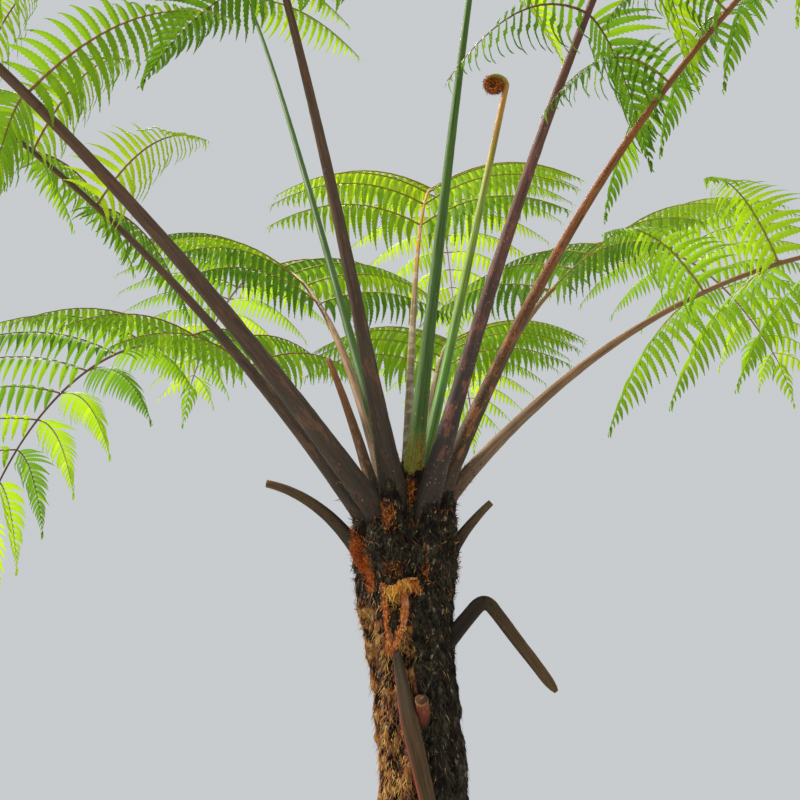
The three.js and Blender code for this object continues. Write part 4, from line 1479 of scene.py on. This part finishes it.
@dataclass
class TrunkBark(Dresser):
    """The trunk's skin with its relief, and the rootlets and fibres that mat it.

    Attributes:
        rings: Rings up to the crown's shoulder, the share upper_share of them above upper_height.
        scar_step, scar_turn: Height and turn between one old leaf scar and the next.
        sunk, drawn_in: How far the bark lies under the plain form, and further between the fronds' feet.
        bow: How far the trunk bows to -X just below the crown.
    """

    sides: int = 160
    rings: int = 560
    dome_rings: int = 24
    upper_height: float = 1.5
    upper_share: float = 0.46
    scar_step: float = 0.041
    scar_turn: float = 137.5
    sunk: float = 0.006
    drawn_in: float = 0.028
    bow: float = 0.009
    rootlets: int = 700
    fibres: int = 42000
    seed: int = 3

    def dress(self) -> None:
        """Makes the skin, the rootlets and the fibres."""
        fibres = self.looks.fibres
        dress_piece("trunk_bark", self.skin(), [self.looks.bark], ["trunk"])
        dress_piece("trunk_rootlets", self.rootlet_skin(), fibres, ["trunk"])
        dress_piece("trunk_fibres", self.fibre_skin(), fibres, ["trunk"], smooth=False)

    def heights(self) -> Array:
        """Heights of the rings, closer together above upper_height."""
        upper = round(self.rings * self.upper_share)
        low = np.linspace(0, self.upper_height, self.rings - upper, endpoint=False)
        return np.concatenate([low, np.linspace(self.upper_height, self.form.shoulder, upper)])

    @staticmethod
    def knobs(place: Array) -> tuple[Array, Array]:
        """Noise of the lumps and of the finer clumps at points of the plain form."""
        return layered_noise(place * 42, 5, 2), layered_noise(place * np.array([125, 125, 85]), 7, 2)

    def relief(self, z: Array, angle: Array) -> Array:
        """Height of the bark over the plain form, in metres.

        It is the higher of two surfaces plus the same roughness: the sunk shaft with its scars, and the
        ridges that run down from the fronds' feet. The roughness is lumps, clumps and upright strands.
        """
        place = self.form.surface(z, angle)
        lumps, clumps = self.knobs(place)
        strands = lattice_noise(place * np.array([240, 240, 24]), 9)
        rough = 0.0036 * lumps + 0.0028 * clumps + 0.0015 * strands
        crown_foot, crown_full, bow_height, bow_depth = 1.97, 2.1, 1.9, 0.12
        drawn = self.drawn_in * smoothstep(crown_foot, crown_full, z)
        shaft = -self.sunk - drawn + self.scars(z, angle)
        bowed = -self.bow * np.cos(angle) * np.exp(-(((z - bow_height) / bow_depth) ** 2))
        ridges = np.max([self.ridge(frond, z, angle) for frond in FRONDS], axis=0)
        return np.maximum(shaft, ridges) + rough + bowed

    def scars(self, z: Array, angle: Array) -> Array:
        """Scars of old fronds: each a pit with a raised rim, in one long spiral.

        With a the distance from a scar's middle in units of its half width and half height, the rim is a
        bell curve about a = rim, and the pit is e to the minus a^4.
        """
        first, half_width, half_height, depth, rim, rim_width = 0.16, 0.017, 0.028, 0.005, 1.1, 0.3
        height = np.zeros_like(z)
        for number in range(int(self.form.shoulder / self.scar_step)):
            middle = self.form.shoulder - first - number * self.scar_step
            aside = self.turned_by(angle, self.scar_turn * number) * self.form.radius(z)
            apart = np.sqrt((aside / half_width) ** 2 + ((z - middle) / half_height) ** 2)
            raised = depth * np.exp(-(((apart - rim) / rim_width) ** 2))
            height = height + raised - depth * np.exp(-(apart**4))
        return height

    def ridge(self, frond: Frond, z: Array, angle: Array) -> Array:
        """Height over the plain form of the round ridge that runs down from one frond's foot.

        Across it is a circle that widens downward. Its middle stands as far from the trunk's middle as the
        foot, sinks into the trunk over the run below it, and draws in above it, where the stalk takes over.
        """
        run, overlap, fit, widening, under, draw = 0.3, 0.03, 1.06, 0.5, 1.02, 1.3
        plain = self.form.radius(z)
        below = frond.course.rise - z
        radius = frond.girth / 2 * (fit + widening * smoothstep(0, run, below))
        share = smoothstep(-overlap, run, below)
        middle = frond.course.foot + (plain - under * radius - frond.course.foot) * share
        middle = middle - draw * np.maximum(-below, 0)
        aside = self.turned_by(angle, frond.course.azimuth) * plain
        bulge = np.sqrt(np.maximum(radius**2 - aside**2, 0))
        return np.where(np.abs(aside) < radius, middle + bulge - plain, -1.0)

    def golden(self, z: Array, angle: Array) -> Array:
        """How golden the bark is: most towards -X, the sunlit side, as painted sunlight over its own gold,
        and not on the crown, dark with its own scales and with painted shade under the fronds, or inside the
        old frond's foot.
        """
        azimuth, low, high = 203, 0.16, 0.72
        # Painted shade: the crown under the fronds gets no gold, on top of its own dark scales.
        crown = smoothstep(1.86, 1.96, z)
        foot_azimuth, foot_spread, foot_height, foot_depth = 246, 7, 1.868, 0.02
        # Painted sunlight: the bark turns golden towards the sunlit -X side.
        side = np.cos(angle - math.radians(azimuth))
        aside = (np.degrees(angle) % 360 - foot_azimuth) / foot_spread
        hollow = aside**2 + ((z - foot_height) / foot_depth) ** 2
        return smoothstep(low, high, side) * (1 - crown) - np.exp(-hollow)

    @staticmethod
    def turned_by(angle: Array, azimuth: float) -> Array:
        """Angle in radians from an azimuth in degrees, between minus and plus a half turn."""
        return (angle - math.radians(azimuth) + np.pi) % (2 * np.pi) - np.pi

    def place(self, z: Array, angle: Array) -> Array:
        """Points on the bark at heights and angles in radians: over the dome, the top ring drawn in."""
        low = np.minimum(z, self.form.shoulder)
        rise = np.clip((z - self.form.shoulder) / self.form.dome, 0, 0.999)
        lift = outward(np.degrees(angle)) * self.relief(low, angle)[..., None]
        edge = self.form.surface(low, angle) + lift - self.form.axis(low)
        return self.form.axis(z) + edge * np.sqrt(1 - rise**2)[..., None]

    def skin(self) -> Skin:
        """The whole bark: the shaft's rings, then rings drawn in over the dome to a closed top."""
        angle = 2 * np.pi * np.arange(self.sides) / self.sides
        top_room = 0.3
        rise = np.sin(np.pi / 2 * (np.arange(self.dome_rings) + 1) / (self.dome_rings + top_room))
        z = np.concatenate([self.heights(), self.form.shoulder + self.form.dome * rise])
        z_grid, a_grid = np.meshgrid(z, angle, indexing="ij")
        points = self.place(z_grid, a_grid)
        relief = self.relief(np.minimum(z_grid, self.form.shoulder), a_grid)
        lumps, clumps = self.knobs(self.form.surface(z_grid, a_grid))
        height = np.clip(0.5 + 0.3 * (clumps + 0.5 * lumps), 0, 1)
        # golden carries the painted sunlight of the -X side and the painted shade elsewhere to the bark's
        # material.
        fields = {"relief": height, "golden": self.golden(z_grid, a_grid)}
        points[..., 2] = np.maximum(points[..., 2], 0)
        LOG.info("bark stands %.1f to %.1f mm over the plain form", 1000 * relief.min(), 1000 * relief.max())
        return ring_skin(points, fields=fields)

    def rootlet_skin(self) -> Skin:
        """Thin roots that wander down over the bark, more of them towards the ground."""
        lowest, span, crowding, rings, sides = 0.12, 1.5, 0.8, 12, 4
        shortest, longer, sway, thinning, arch, sunk = 0.06, 0.2, 0.07, 0.5, 0.003, 0.001
        rng = np.random.default_rng(self.seed)
        top = lowest + span * rng.random(self.rootlets) ** crowding
        run = np.minimum(shortest + longer * rng.random(self.rootlets), top - 0.01)
        share = np.linspace(0, 1, rings)
        z = top[:, None] - run[:, None] * share
        start = 2 * np.pi * rng.random((self.rootlets, 1))
        drift = rng.normal(0, 0.35, (self.rootlets, 1)) * share
        wave = sway * np.sin(share * rng.uniform(4, 12, (self.rootlets, 1)) + start * 9)
        angle = start + drift + wave
        radius = rng.uniform(0.0008, 0.0021, self.rootlets)[:, None] * (1 - thinning * share)
        lift = radius * 0.4 + arch * np.sin(np.pi * share) - sunk
        centres = self.place(z, angle) + outward(np.degrees(angle)) * lift[..., None]
        centres[..., 2] = np.maximum(centres[..., 2], radius)
        return thin_tubes(centres, radius, sides, self.tones(z[:, 0], start[:, 0], rng))

    def fibre_skin(self) -> Skin:
        """Short dry fibres that lie down over the bark, each bent a little aside."""
        lowest, span, crowding, sunk, clear = 0.03, 2.02, 0.66, 0.001, 0.004
        rng = np.random.default_rng(self.seed + 1)
        count = self.fibres
        z = lowest + span * rng.random(count) ** crowding
        angle = 2 * np.pi * rng.random(count)
        out = outward(np.degrees(angle))
        level = np.cross(UP, out)
        root = self.place(z, angle) - out * sunk
        length = rng.uniform(0.005, 0.017, count)
        tilt = rng.normal(0, 0.6, (3, count))
        stand = out * (0.22 + 0.25 * np.abs(tilt[0]))[:, None]
        way = unit(stand + level * tilt[1][:, None] - UP * 0.75)
        side = unit(np.cross(way, out + 0.6 * level * tilt[2][:, None]))
        curl = DOWN * (length * 0.25)[:, None] + level * (length * 0.3 * tilt[2])[:, None]
        way = way * length[:, None]
        low = np.maximum(0, clear - (root + way + curl)[:, 2])
        root = root + UP * low[:, None]
        width = rng.uniform(0.0007, 0.0016, count)
        return thin_blades(root, way, side, width, curl, self.tones(z, angle, rng))

    def tones(self, z: Array, angle: Array, rng: Draws) -> Array:
        """Deals gold, rust, brown and black out to fibres by how golden the bark under them is: light ones
        on the sunlit side and dark ones elsewhere, painted sunlight and painted shade over their own tones.

        Args:
            z, angle: Their heights and angles in radians.
            rng: The random draws.

        Returns:
            The number of each one's finish among Looks.fibres.
        """
        place = self.form.surface(z, angle)
        patch = 0.5 * lattice_noise(place * np.array([26, 26, 16]), 41)
        # Painted light: fibres on the sunlit, golden side take the lit tones, the rest the dim ones.
        bright = self.golden(z, angle) + patch + rng.normal(0, 0.12, len(z)) > 0.45
        clump = lattice_noise(place * np.array([90, 90, 60]), 43)
        gold = rng.choice(4, len(z), p=[0.62, 0.28, 0.06, 0.04])
        rust = rng.choice(4, len(z), p=[0.06, 0.46, 0.24, 0.24])
        lit = np.where(clump > 0.12, gold, rust)
        mossy = rng.choice(4, len(z), p=[0.03, 0.02, 0.6, 0.35])
        black = rng.choice(4, len(z), p=[0.004, 0.016, 0.28, 0.7])
        dim = np.where(clump > 0.1, mossy, black)
        return np.where(bright, lit, dim)


@dataclass
class OldFoot(Dresser):
    """The foot of an old frond on the crown's front: two raised edges that meet below, and a frayed top.

    The edges start at the height top and go run down.
    """

    top: float = 1.938
    run: float = 0.118
    roughness: float = 0.4
    sides: int = 14

    @staticmethod
    def edge(share: Array, right: Array | bool) -> Array:
        """Azimuth of an edge at a share of the way down: the right one swings over to meet the left one."""
        stops = np.array([0, 0.35, 0.6, 0.85, 1.0])
        swung = np.interp(share, stops, [-102.0, -100.0, -104.0, -115.0, -123.0])
        return np.where(right, swung, -122.0 - 3.0 * share)

    def dress(self) -> None:
        """Makes the two edges and the top as one piece."""
        share = np.linspace(0, 1, 40)
        runs = [
            (self.edge(share, False), self.top - self.run * share, 0.0042 - 0.001 * share),
            (self.edge(share, True), self.top - self.run * share, 0.0066 - 0.0026 * share),
            (-119 + 36 * share, self.top + 0.006 * share, 0.002 + 0.002 * np.sin(np.pi * share)),
        ]
        centres, radii = [], []
        for azimuth, z, radius in runs:
            rough = 1 + self.roughness * lattice_noise(np.stack([share * 26, azimuth, z * 90], -1), 3)
            lift = radius * 0.9 - 0.001
            centres.append(self.form.surface(z, np.radians(azimuth)) + outward(azimuth) * lift[:, None])
            radii.append(radius * rough)
        skin = thin_tubes(np.array(centres), np.array(radii), self.sides, np.array([0, 0, 1]))
        looks = [self.looks.edge, self.looks.scurf]
        dress_piece("old_frond_foot_skin", skin, looks, ["old_frond_foot"])


@dataclass(frozen=True)
class FurPatch:
    """A patch of scales on the crown, with the azimuth and height of its middle.

    Attributes:
        spread: How far it spreads: degrees round the crown and metres up it.
        slant: Degrees that it moves round the crown for each metre up.
        tones: Shares of orange, rust, brown and gold among its scales.
    """

    azimuth: float
    height: float
    spread: Pair
    slant: float
    count: int
    tones: tuple[float, float, float, float]


FUR = [
    FurPatch(205, 1.984, (4.5, 0.027), -290, 3400, (0.62, 0.32, 0.05, 0.01)),
    FurPatch(-88, 1.73, (5, 0.008), 0, 110, (0.15, 0.45, 0.4, 0.0)),
    FurPatch(-111, 2.043, (3, 0.011), 0, 240, (0.35, 0.3, 0.15, 0.2)),
    FurPatch(-110, 1.957, (8, 0.006), 0, 420, (0.02, 0.3, 0.6, 0.08)),
    FurPatch(-112, 1.912, (3.5, 0.009), 0, 240, (0.2, 0.15, 0.05, 0.6)),
    FurPatch(-128, 2.07, (5, 0.01), 0, 260, (0.45, 0.4, 0.15, 0.0)),
    FurPatch(-72, 1.955, (3, 0.009), 0, 70, (0.3, 0.4, 0.1, 0.2)),
    FurPatch(-84, 2.1, (6, 0.01), 0, 240, (0.45, 0.3, 0.1, 0.15)),
    FurPatch(100, 1.98, (22, 0.04), 0, 1100, (0.4, 0.4, 0.18, 0.02)),
    FurPatch(20, 2.0, (16, 0.035), 0, 800, (0.35, 0.4, 0.23, 0.02)),
]


@dataclass
class CrownScales:
    """The scales on the crown, on the feet of the stalks and on the old frond's foot.

    The counts on_stalks and on_young are for each stalk. edges holds the frond, length, turn round the
    stalk and count of each strip of fuzz up a stalk.
    """

    bark: TrunkBark
    looks: "Looks"
    on_stalks: int = 200
    on_young: int = 480
    edges: tuple[tuple[str, float, float, int], ...] = (
        ("front_left", 0.3, 180, 700),
        ("right_high", 0.78, 180, 1100),
        ("right_high", 0.78, 0, 800),
    )
    on_crown: int = 8000
    on_foot: int = 1500
    seed: int = 19

    def dress(self) -> None:
        """Makes the scales as one piece."""
        rng = np.random.default_rng(self.seed)
        skins = [self.stalk_scales(frond, rng) for frond in FRONDS]
        skins += [self.edge_scales(*edge, rng) for edge in self.edges]
        skins += [self.crown_scales(rng), self.foot_scales(rng)]
        skins += [self.fur(patch, rng) for patch in FUR]
        looks = self.looks.scales
        dress_piece("crown_scales", join(skins), looks, ["old_frond_foot"], smooth=False)

    def stalk_scales(self, frond: Frond, rng: Draws) -> Skin:
        """Scales that lie up a stalk's foot, fewer with the way from it, and yellow on a young one."""
        young = frond.look is StalkLook.GREEN
        count = self.on_young if young else self.on_stalks
        along = -0.02 + rng.exponential(0.03, count)
        turn = 2 * np.pi * rng.random(count)
        length = rng.uniform(0.004, 0.009, count)
        tones = [0.25, 0.15, 0.05, 0.55] if young else [0.12, 0.33, 0.53, 0.02]
        return self.scales_up(frond, along, turn, length, tones, rng)

    def edge_scales(self, name: str, run: float, turn: float, count: int, rng: Draws) -> Skin:
        """Rusty fuzz along one edge of a frond's stalk.

        Args:
            name, run: The frond, and how far up its stalk the fuzz goes.
            turn: Degrees round the stalk from its right edge.
            count: How many scales it has.
            rng: The random draws.
        """
        frond = next(frond for frond in FRONDS if frond.name == name)
        along = run * rng.random(count) ** 1.3
        turns = np.radians(turn + rng.normal(0, 17, count))
        length = rng.uniform(0.0015, 0.005, count)
        return self.scales_up(frond, along, turns, length, [0.45, 0.45, 0.1, 0.0], rng)

    def scales_up(
        self, frond: Frond, along: Array, turn: Array, length: Array, tones: list[float], rng: Draws
    ) -> Skin:
        """Scales on a stalk that point up it.

        Args:
            frond: The stalk's frond.
            along, turn: Their distances from its foot, and turns in radians from its right edge.
            length: Their lengths.
            tones: Shares of the finishes among them.
            rng: The random draws.
        """
        point, ahead, across, upper = Midline(frond.course, self.bark.form).at(along)
        count = len(along)
        out = across * np.cos(turn)[:, None] + upper * np.sin(turn)[:, None]
        stand = out * rng.uniform(0.2, 0.7, count)[:, None]
        way = unit(ahead * 0.8 + stand + rng.normal(0, 0.3, (count, 3)))
        side = unit(np.cross(way, out))
        curl = rng.normal(0, 0.25, (count, 3)) * length[:, None]
        root = point + out * (frond.radius(along) * 0.98)[:, None]
        width = rng.uniform(0.0009, 0.002, count)
        return thin_blades(root, way * length[:, None], side, width, curl, rng.choice(4, count, p=tones))

    def on_bark(self, z: Array, angle: Array, length: Array, lean: float, tone: Array, rng: Draws) -> Skin:
        """Scales on the bark that point up.

        Args:
            z, angle: Their heights and angles in radians.
            length, lean: Their lengths, and how far they stand out.
            tone: The numbers of their finishes.
            rng: The random draws.
        """
        sunk = 0.0006
        count = len(z)
        out = outward(np.degrees(angle))
        root = self.bark.place(z, angle) - out * sunk
        rise = UP * rng.normal(0.7, 0.5, count)[:, None]
        way = unit(out * lean + rise + rng.normal(0, 0.35, (count, 3)))
        side = unit(np.cross(way, out + rng.normal(0, 0.3, (count, 3))))
        curl = rng.normal(0, 0.3, (count, 3)) * length[:, None]
        width = rng.uniform(0.0008, 0.0018, count)
        return thin_blades(root, way * length[:, None], side, width, curl, tone)

    def crown_scales(self, rng: Draws) -> Skin:
        """Small dark scales over the whole crown, with a few rust and tan ones."""
        count = self.on_crown
        top = self.bark.form.shoulder + self.bark.form.dome - 0.002
        z = rng.normal(2.03, 0.075, count).clip(1.83, top)
        angle = 2 * np.pi * rng.random(count)
        tone = rng.choice(4, count, p=[0.008, 0.05, 0.93, 0.012])
        return self.on_bark(z, angle, rng.uniform(0.004, 0.012, count), 0.45, tone, rng)

    def fur(self, patch: FurPatch, rng: Draws) -> Skin:
        """One patch of fur, thickest at its middle."""
        up, aside = rng.normal(0, 1, (2, patch.count)).clip(-2.2, 2.2)
        z = patch.height + patch.spread[1] * up
        angle = np.radians(patch.azimuth + patch.spread[0] * aside + patch.slant * patch.spread[1] * up)
        tone = rng.choice(4, patch.count, p=patch.tones)
        return self.on_bark(z, angle, rng.uniform(0.004, 0.011, patch.count), 0.8, tone, rng)

    def foot_scales(self, rng: Draws) -> Skin:
        """Golden fibres that hang from the top of the old frond's foot, and orange scales down its edges."""
        count = self.on_foot
        share = rng.random(count)
        hanging = rng.random(count) < 0.34
        right = rng.random(count) < 0.62
        azimuth = np.where(hanging, -119 + 37 * share, OldFoot.edge(share, right))
        fringe = 0.008 * lattice_noise(np.stack([share * 9, share, share], -1), 31)
        frayed = 1.936 + 0.006 * share + fringe - 0.012 * rng.random(count)
        z = np.where(hanging, frayed, 1.938 - 0.116 * share)
        out = outward(azimuth)
        level = np.cross(UP, out)
        aside = rng.normal(0, 0.003, count)
        root = self.bark.place(z, np.radians(azimuth)) + out * 0.006 + level * aside[:, None]
        drop = 0.004 + rng.exponential(0.006, count).clip(0, 0.022)
        length = np.where(hanging, drop, rng.uniform(0.003, 0.007, count))
        way = unit(out * 0.25 + DOWN * 0.8 + rng.normal(0, 0.25, (count, 3)))
        side = unit(np.cross(way, out + rng.normal(0, 0.3, (count, 3))))
        orange = rng.choice(4, count, p=[0.55, 0.25, 0.05, 0.15])
        golden = rng.choice(4, count, p=[0.22, 0.1, 0.0, 0.68])
        tone = np.where(hanging & (share < 0.7), golden, orange)
        curl = rng.normal(0, 0.15, (count, 3)) * length[:, None]
        width = rng.uniform(0.0009, 0.0018, count)
        return thin_blades(root, way * length[:, None], side, width, curl, tone)


@dataclass
class Crozier(Dresser):
    """The frond that is still rolled up: a slender stalk and a coil thick with scales.

    The coil's hub lies coil_out to +X of the stalk's end and coil_up above it, inmost from its own end.
    """

    course: Course = Course(25, 13, 0, 0.034, 2.15, 0.93)
    girth: float = 0.022
    top_girth: float = 0.013
    coil_girth: float = 0.0165
    coil_out: float = -0.024
    coil_up: float = 0.002
    turns: float = 1.85
    inmost: float = 0.004
    hairs: int = 2600
    seed: int = 29

    def dress(self) -> None:
        """Makes the stalk, the coil and its scales."""
        sunk, rings, sides = 0.04, 110, 18
        line = Midline(self.course, self.form)
        along = np.linspace(-sunk, self.course.length, rings)
        share = np.maximum(along, 0) / self.course.length
        radii = (self.girth + (self.top_girth - self.girth) * share) / 2
        stalk = stalk_skin(line, along, radii, sides, grooved)
        self.dress_stalk("crozier_stalk", stalk, StalkLook.YOUNG)
        centres, radii = self.spiral(line.points[-1])
        coil, hair = self.coil_skin(centres, radii), self.hair_skin(centres, radii)
        self.dress_stalk("crozier_coil", coil, StalkLook.COIL)
        scales = self.looks.scales
        dress_piece("crozier_coil_scales", hair, scales, ["crozier_coil"], smooth=False)

    def spiral(self, end: Array) -> tuple[Array, Array]:
        """The coil's midline: from the stalk's end up, over to -X and inward, a steady loss of radius."""
        hub = end + np.array([self.coil_out, 0, self.coil_up])
        first = math.atan2(-self.coil_up, -self.coil_out)
        start = math.hypot(self.coil_out, self.coil_up)
        share = np.linspace(0, 1, 90)
        angle = first + 2 * np.pi * self.turns * share
        reach = start + (self.inmost - start) * share**0.85
        ways = np.stack([np.cos(angle), 0.1 * np.sin(2 * angle) * share, np.sin(angle)], axis=-1)
        full = self.top_girth + (self.coil_girth - self.top_girth) * smoothstep(0, 0.2, share)
        return hub + ways * reach[:, None], full / 2 * (1 - 0.35 * share)

    def coil_skin(self, centres: Array, radii: Array) -> Skin:
        """A round tube along the spiral, closed by small end rings."""
        radii = radii * np.minimum(1, np.sqrt(np.linspace(1, 0, len(radii)) * 9 + 0.02))
        return thin_tubes(centres[None], radii[None], 16, np.array([0]))

    def hair_skin(self, centres: Array, radii: Array) -> Skin:
        """Scales over the coil but its first stretch, the outer arc beside the stalk, which stays green."""
        rng = np.random.default_rng(self.seed)
        first = np.where(rng.random(self.hairs) < 0.04, 3, 17)
        pick = rng.integers(first, len(centres) - 1)
        way = rng.normal(0, 1, (self.hairs, 3))
        ahead = unit(centres[pick + 1] - centres[pick])
        out = unit(way - ahead * dot(way, ahead))
        length = rng.uniform(0.003, 0.008, self.hairs)
        heading = unit(out * 0.7 + ahead * 0.8 + rng.normal(0, 0.3, (self.hairs, 3)))
        side = unit(np.cross(heading, out))
        curl = rng.normal(0, 0.3, (self.hairs, 3)) * length[:, None]
        tone = rng.choice(4, self.hairs, p=[0.42, 0.4, 0.15, 0.03])
        root = centres[pick] + out * (radii[pick] * 0.95)[:, None]
        return thin_blades(root, heading * length[:, None], side, np.full(self.hairs, 0.0013), curl, tone)


class Looks:
    """Every finish, built once."""

    def __init__(self) -> None:
        """Builds the materials."""
        self.bark = BarkFinish().material()
        self.stalks = {look: finish.material(look.value) for look, finish in STALK_FINISHES.items()}
        self.leaves = [finish.material(name) for name, finish in LEAF_FINISHES.items()]
        hairs = {name: finish.material(name) for name, finish in HAIR_FINISHES.items()}
        self.scales = [hairs[f"scale_{tone}"] for tone in ("orange", "rust", "brown", "gold")]
        self.fibres = [hairs[f"fibre_{tone}"] for tone in ("gold", "rust", "brown", "black")]
        self.costa = leafy((0.34, 0.27, 0.05), (0.4, 0.36, 0.06), 0.15).material("costa_green")
        self.costa_brown = PlainFinish((0.26, 0.12, 0.045)).material("costa_brown")
        golden = (0.07, 0.024, 0.01), (0.4, 0.13, 0.03), (0.72, 0.4, 0.08)
        orange = (0.14, 0.04, 0.02), (0.48, 0.17, 0.07), (0.75, 0.4, 0.24)
        self.scurf = self.scurf_material("scurf", *golden)
        self.edge = self.scurf_material("foot_edge", *orange)

    def ribs(self, look: StalkLook) -> list[Material]:
        """The skins of a frond's midrib and of its costae."""
        brown = look in (StalkLook.BROWN, StalkLook.PURPLE)
        return [self.stalks[look], self.costa_brown if brown else self.costa]

    @staticmethod
    def scurf_material(name: str, hollow: Colour, skin: Colour, knob: Colour) -> Material:
        """Scurfy skin: dark in its hollows and light on its knobs."""
        shader = Shader(name)
        grain = shader.noise(shader.object_place((1, 1, 0.4)), 240.0, 4, 0.7)
        stops = [(0.36, hollow), (0.5, skin), (0.64, knob)]
        sockets = {
            "Base Color": shader.ramp(grain, stops),
            "Roughness": 0.7 + grain * 0.2,
            "Normal": shader.bump(grain, 0.002),
        }
        return shader.finish(shader.principled(sockets))


@dataclass(frozen=True)
class Studio:
    """A pale floor, soft light from the upper left and a camera where the photo was taken from.

    The floor lies floor_drop below the ground, so that the two don't flicker. sky is the colour and the
    strength of the light from all round.
    """

    camera: tuple[float, float, float] = (-0.097, -1.95, 1.55)
    pitch: float = 20.8
    lens: float = 51.1
    sensor: float = 36.0
    floor: float = 30.0
    floor_drop: float = 0.002
    floor_colour: Colour = (0.36, 0.355, 0.345)
    sky: tuple[Colour, float] = ((0.93, 0.97, 1.0), 0.62)

    def build(self) -> None:
        """Builds floor, lights and camera."""
        self.build_floor()
        self.build_sky()
        self.add_sun("key", (-52, -3), 5.0, (1.0, 0.93, 0.8), 4)
        self.add_sun("back", (-14, 37), 2.6, (1.0, 0.97, 0.86), 8)
        self.add_sun("fill", (38, -25), 0.45, (0.92, 0.97, 1.0), 40)
        data = bpy.data.cameras.new("camera")
        data.lens = self.lens
        data.sensor_width = self.sensor
        camera = bpy.data.objects.new("camera", data)
        camera.location = self.camera
        camera.rotation_euler = (math.radians(90 + self.pitch), 0, 0)
        bpy.context.scene.collection.objects.link(camera)
        bpy.context.scene.camera = camera
        bpy.context.scene.view_settings.view_transform = "Standard"

    def build_floor(self) -> None:
        """A wide pale floor just under the trunk."""
        half = self.floor / 2
        corners = [(x * half, y * half, -self.floor_drop) for x, y in ((-1, -1), (1, -1), (1, 1), (-1, 1))]
        mesh = bpy.data.meshes.new("floor")
        mesh.from_pydata(corners, [], [(0, 1, 2, 3)])
        floor = bpy.data.objects.new("floor", mesh)
        bpy.context.scene.collection.objects.link(floor)
        shader = Shader("floor")
        sockets = {"Base Color": (*self.floor_colour, 1), "Roughness": 0.9}
        mesh.materials.append(shader.finish(shader.principled(sockets)))

    def build_sky(self) -> None:
        """Even pale light from all round."""
        world = bpy.data.worlds.new("studio")
        world.use_nodes = True
        background = world.node_tree.nodes["Background"]
        background.inputs[0].default_value = (*self.sky[0], 1)
        background.inputs[1].default_value = self.sky[1]
        bpy.context.scene.world = world

    @staticmethod
    def add_sun(name: str, turn: Pair, strength: float, colour: Colour, spread: float) -> None:
        """Adds a far soft lamp.

        Args:
            name, strength, colour: The lamp's name, strength and colour.
            turn: Its turn from straight down, in degrees: across (about Y) and towards the back (about X).
            spread: Its apparent size in degrees.
        """
        data = bpy.data.lights.new(name, "SUN")
        data.energy = strength
        data.color = colour
        data.angle = math.radians(spread)
        lamp = bpy.data.objects.new(name, data)
        lamp.rotation_euler = (math.radians(-turn[1]), math.radians(turn[0]), 0)
        bpy.context.scene.collection.objects.link(lamp)


def main() -> None:
    """Loads the frame, dresses the plant and sets the studio up."""
    logging.basicConfig(level=logging.INFO, format="%(message)s")
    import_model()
    looks = Looks()
    form = TrunkForm()
    bark = TrunkBark(form, looks)
    bark.dress()
    Stalks(form, looks).dress()
    leaves = FrondLeaves()
    for frond in FRONDS:
        leaves.dress(frond, form, looks)
    Crozier(form, looks).dress()
    DeadStalks(form, looks).dress()
    OldFoot(form, looks).dress()
    CrownScales(bark, looks).dress()
    Studio().build()


if __name__ == "__main__":
    main()
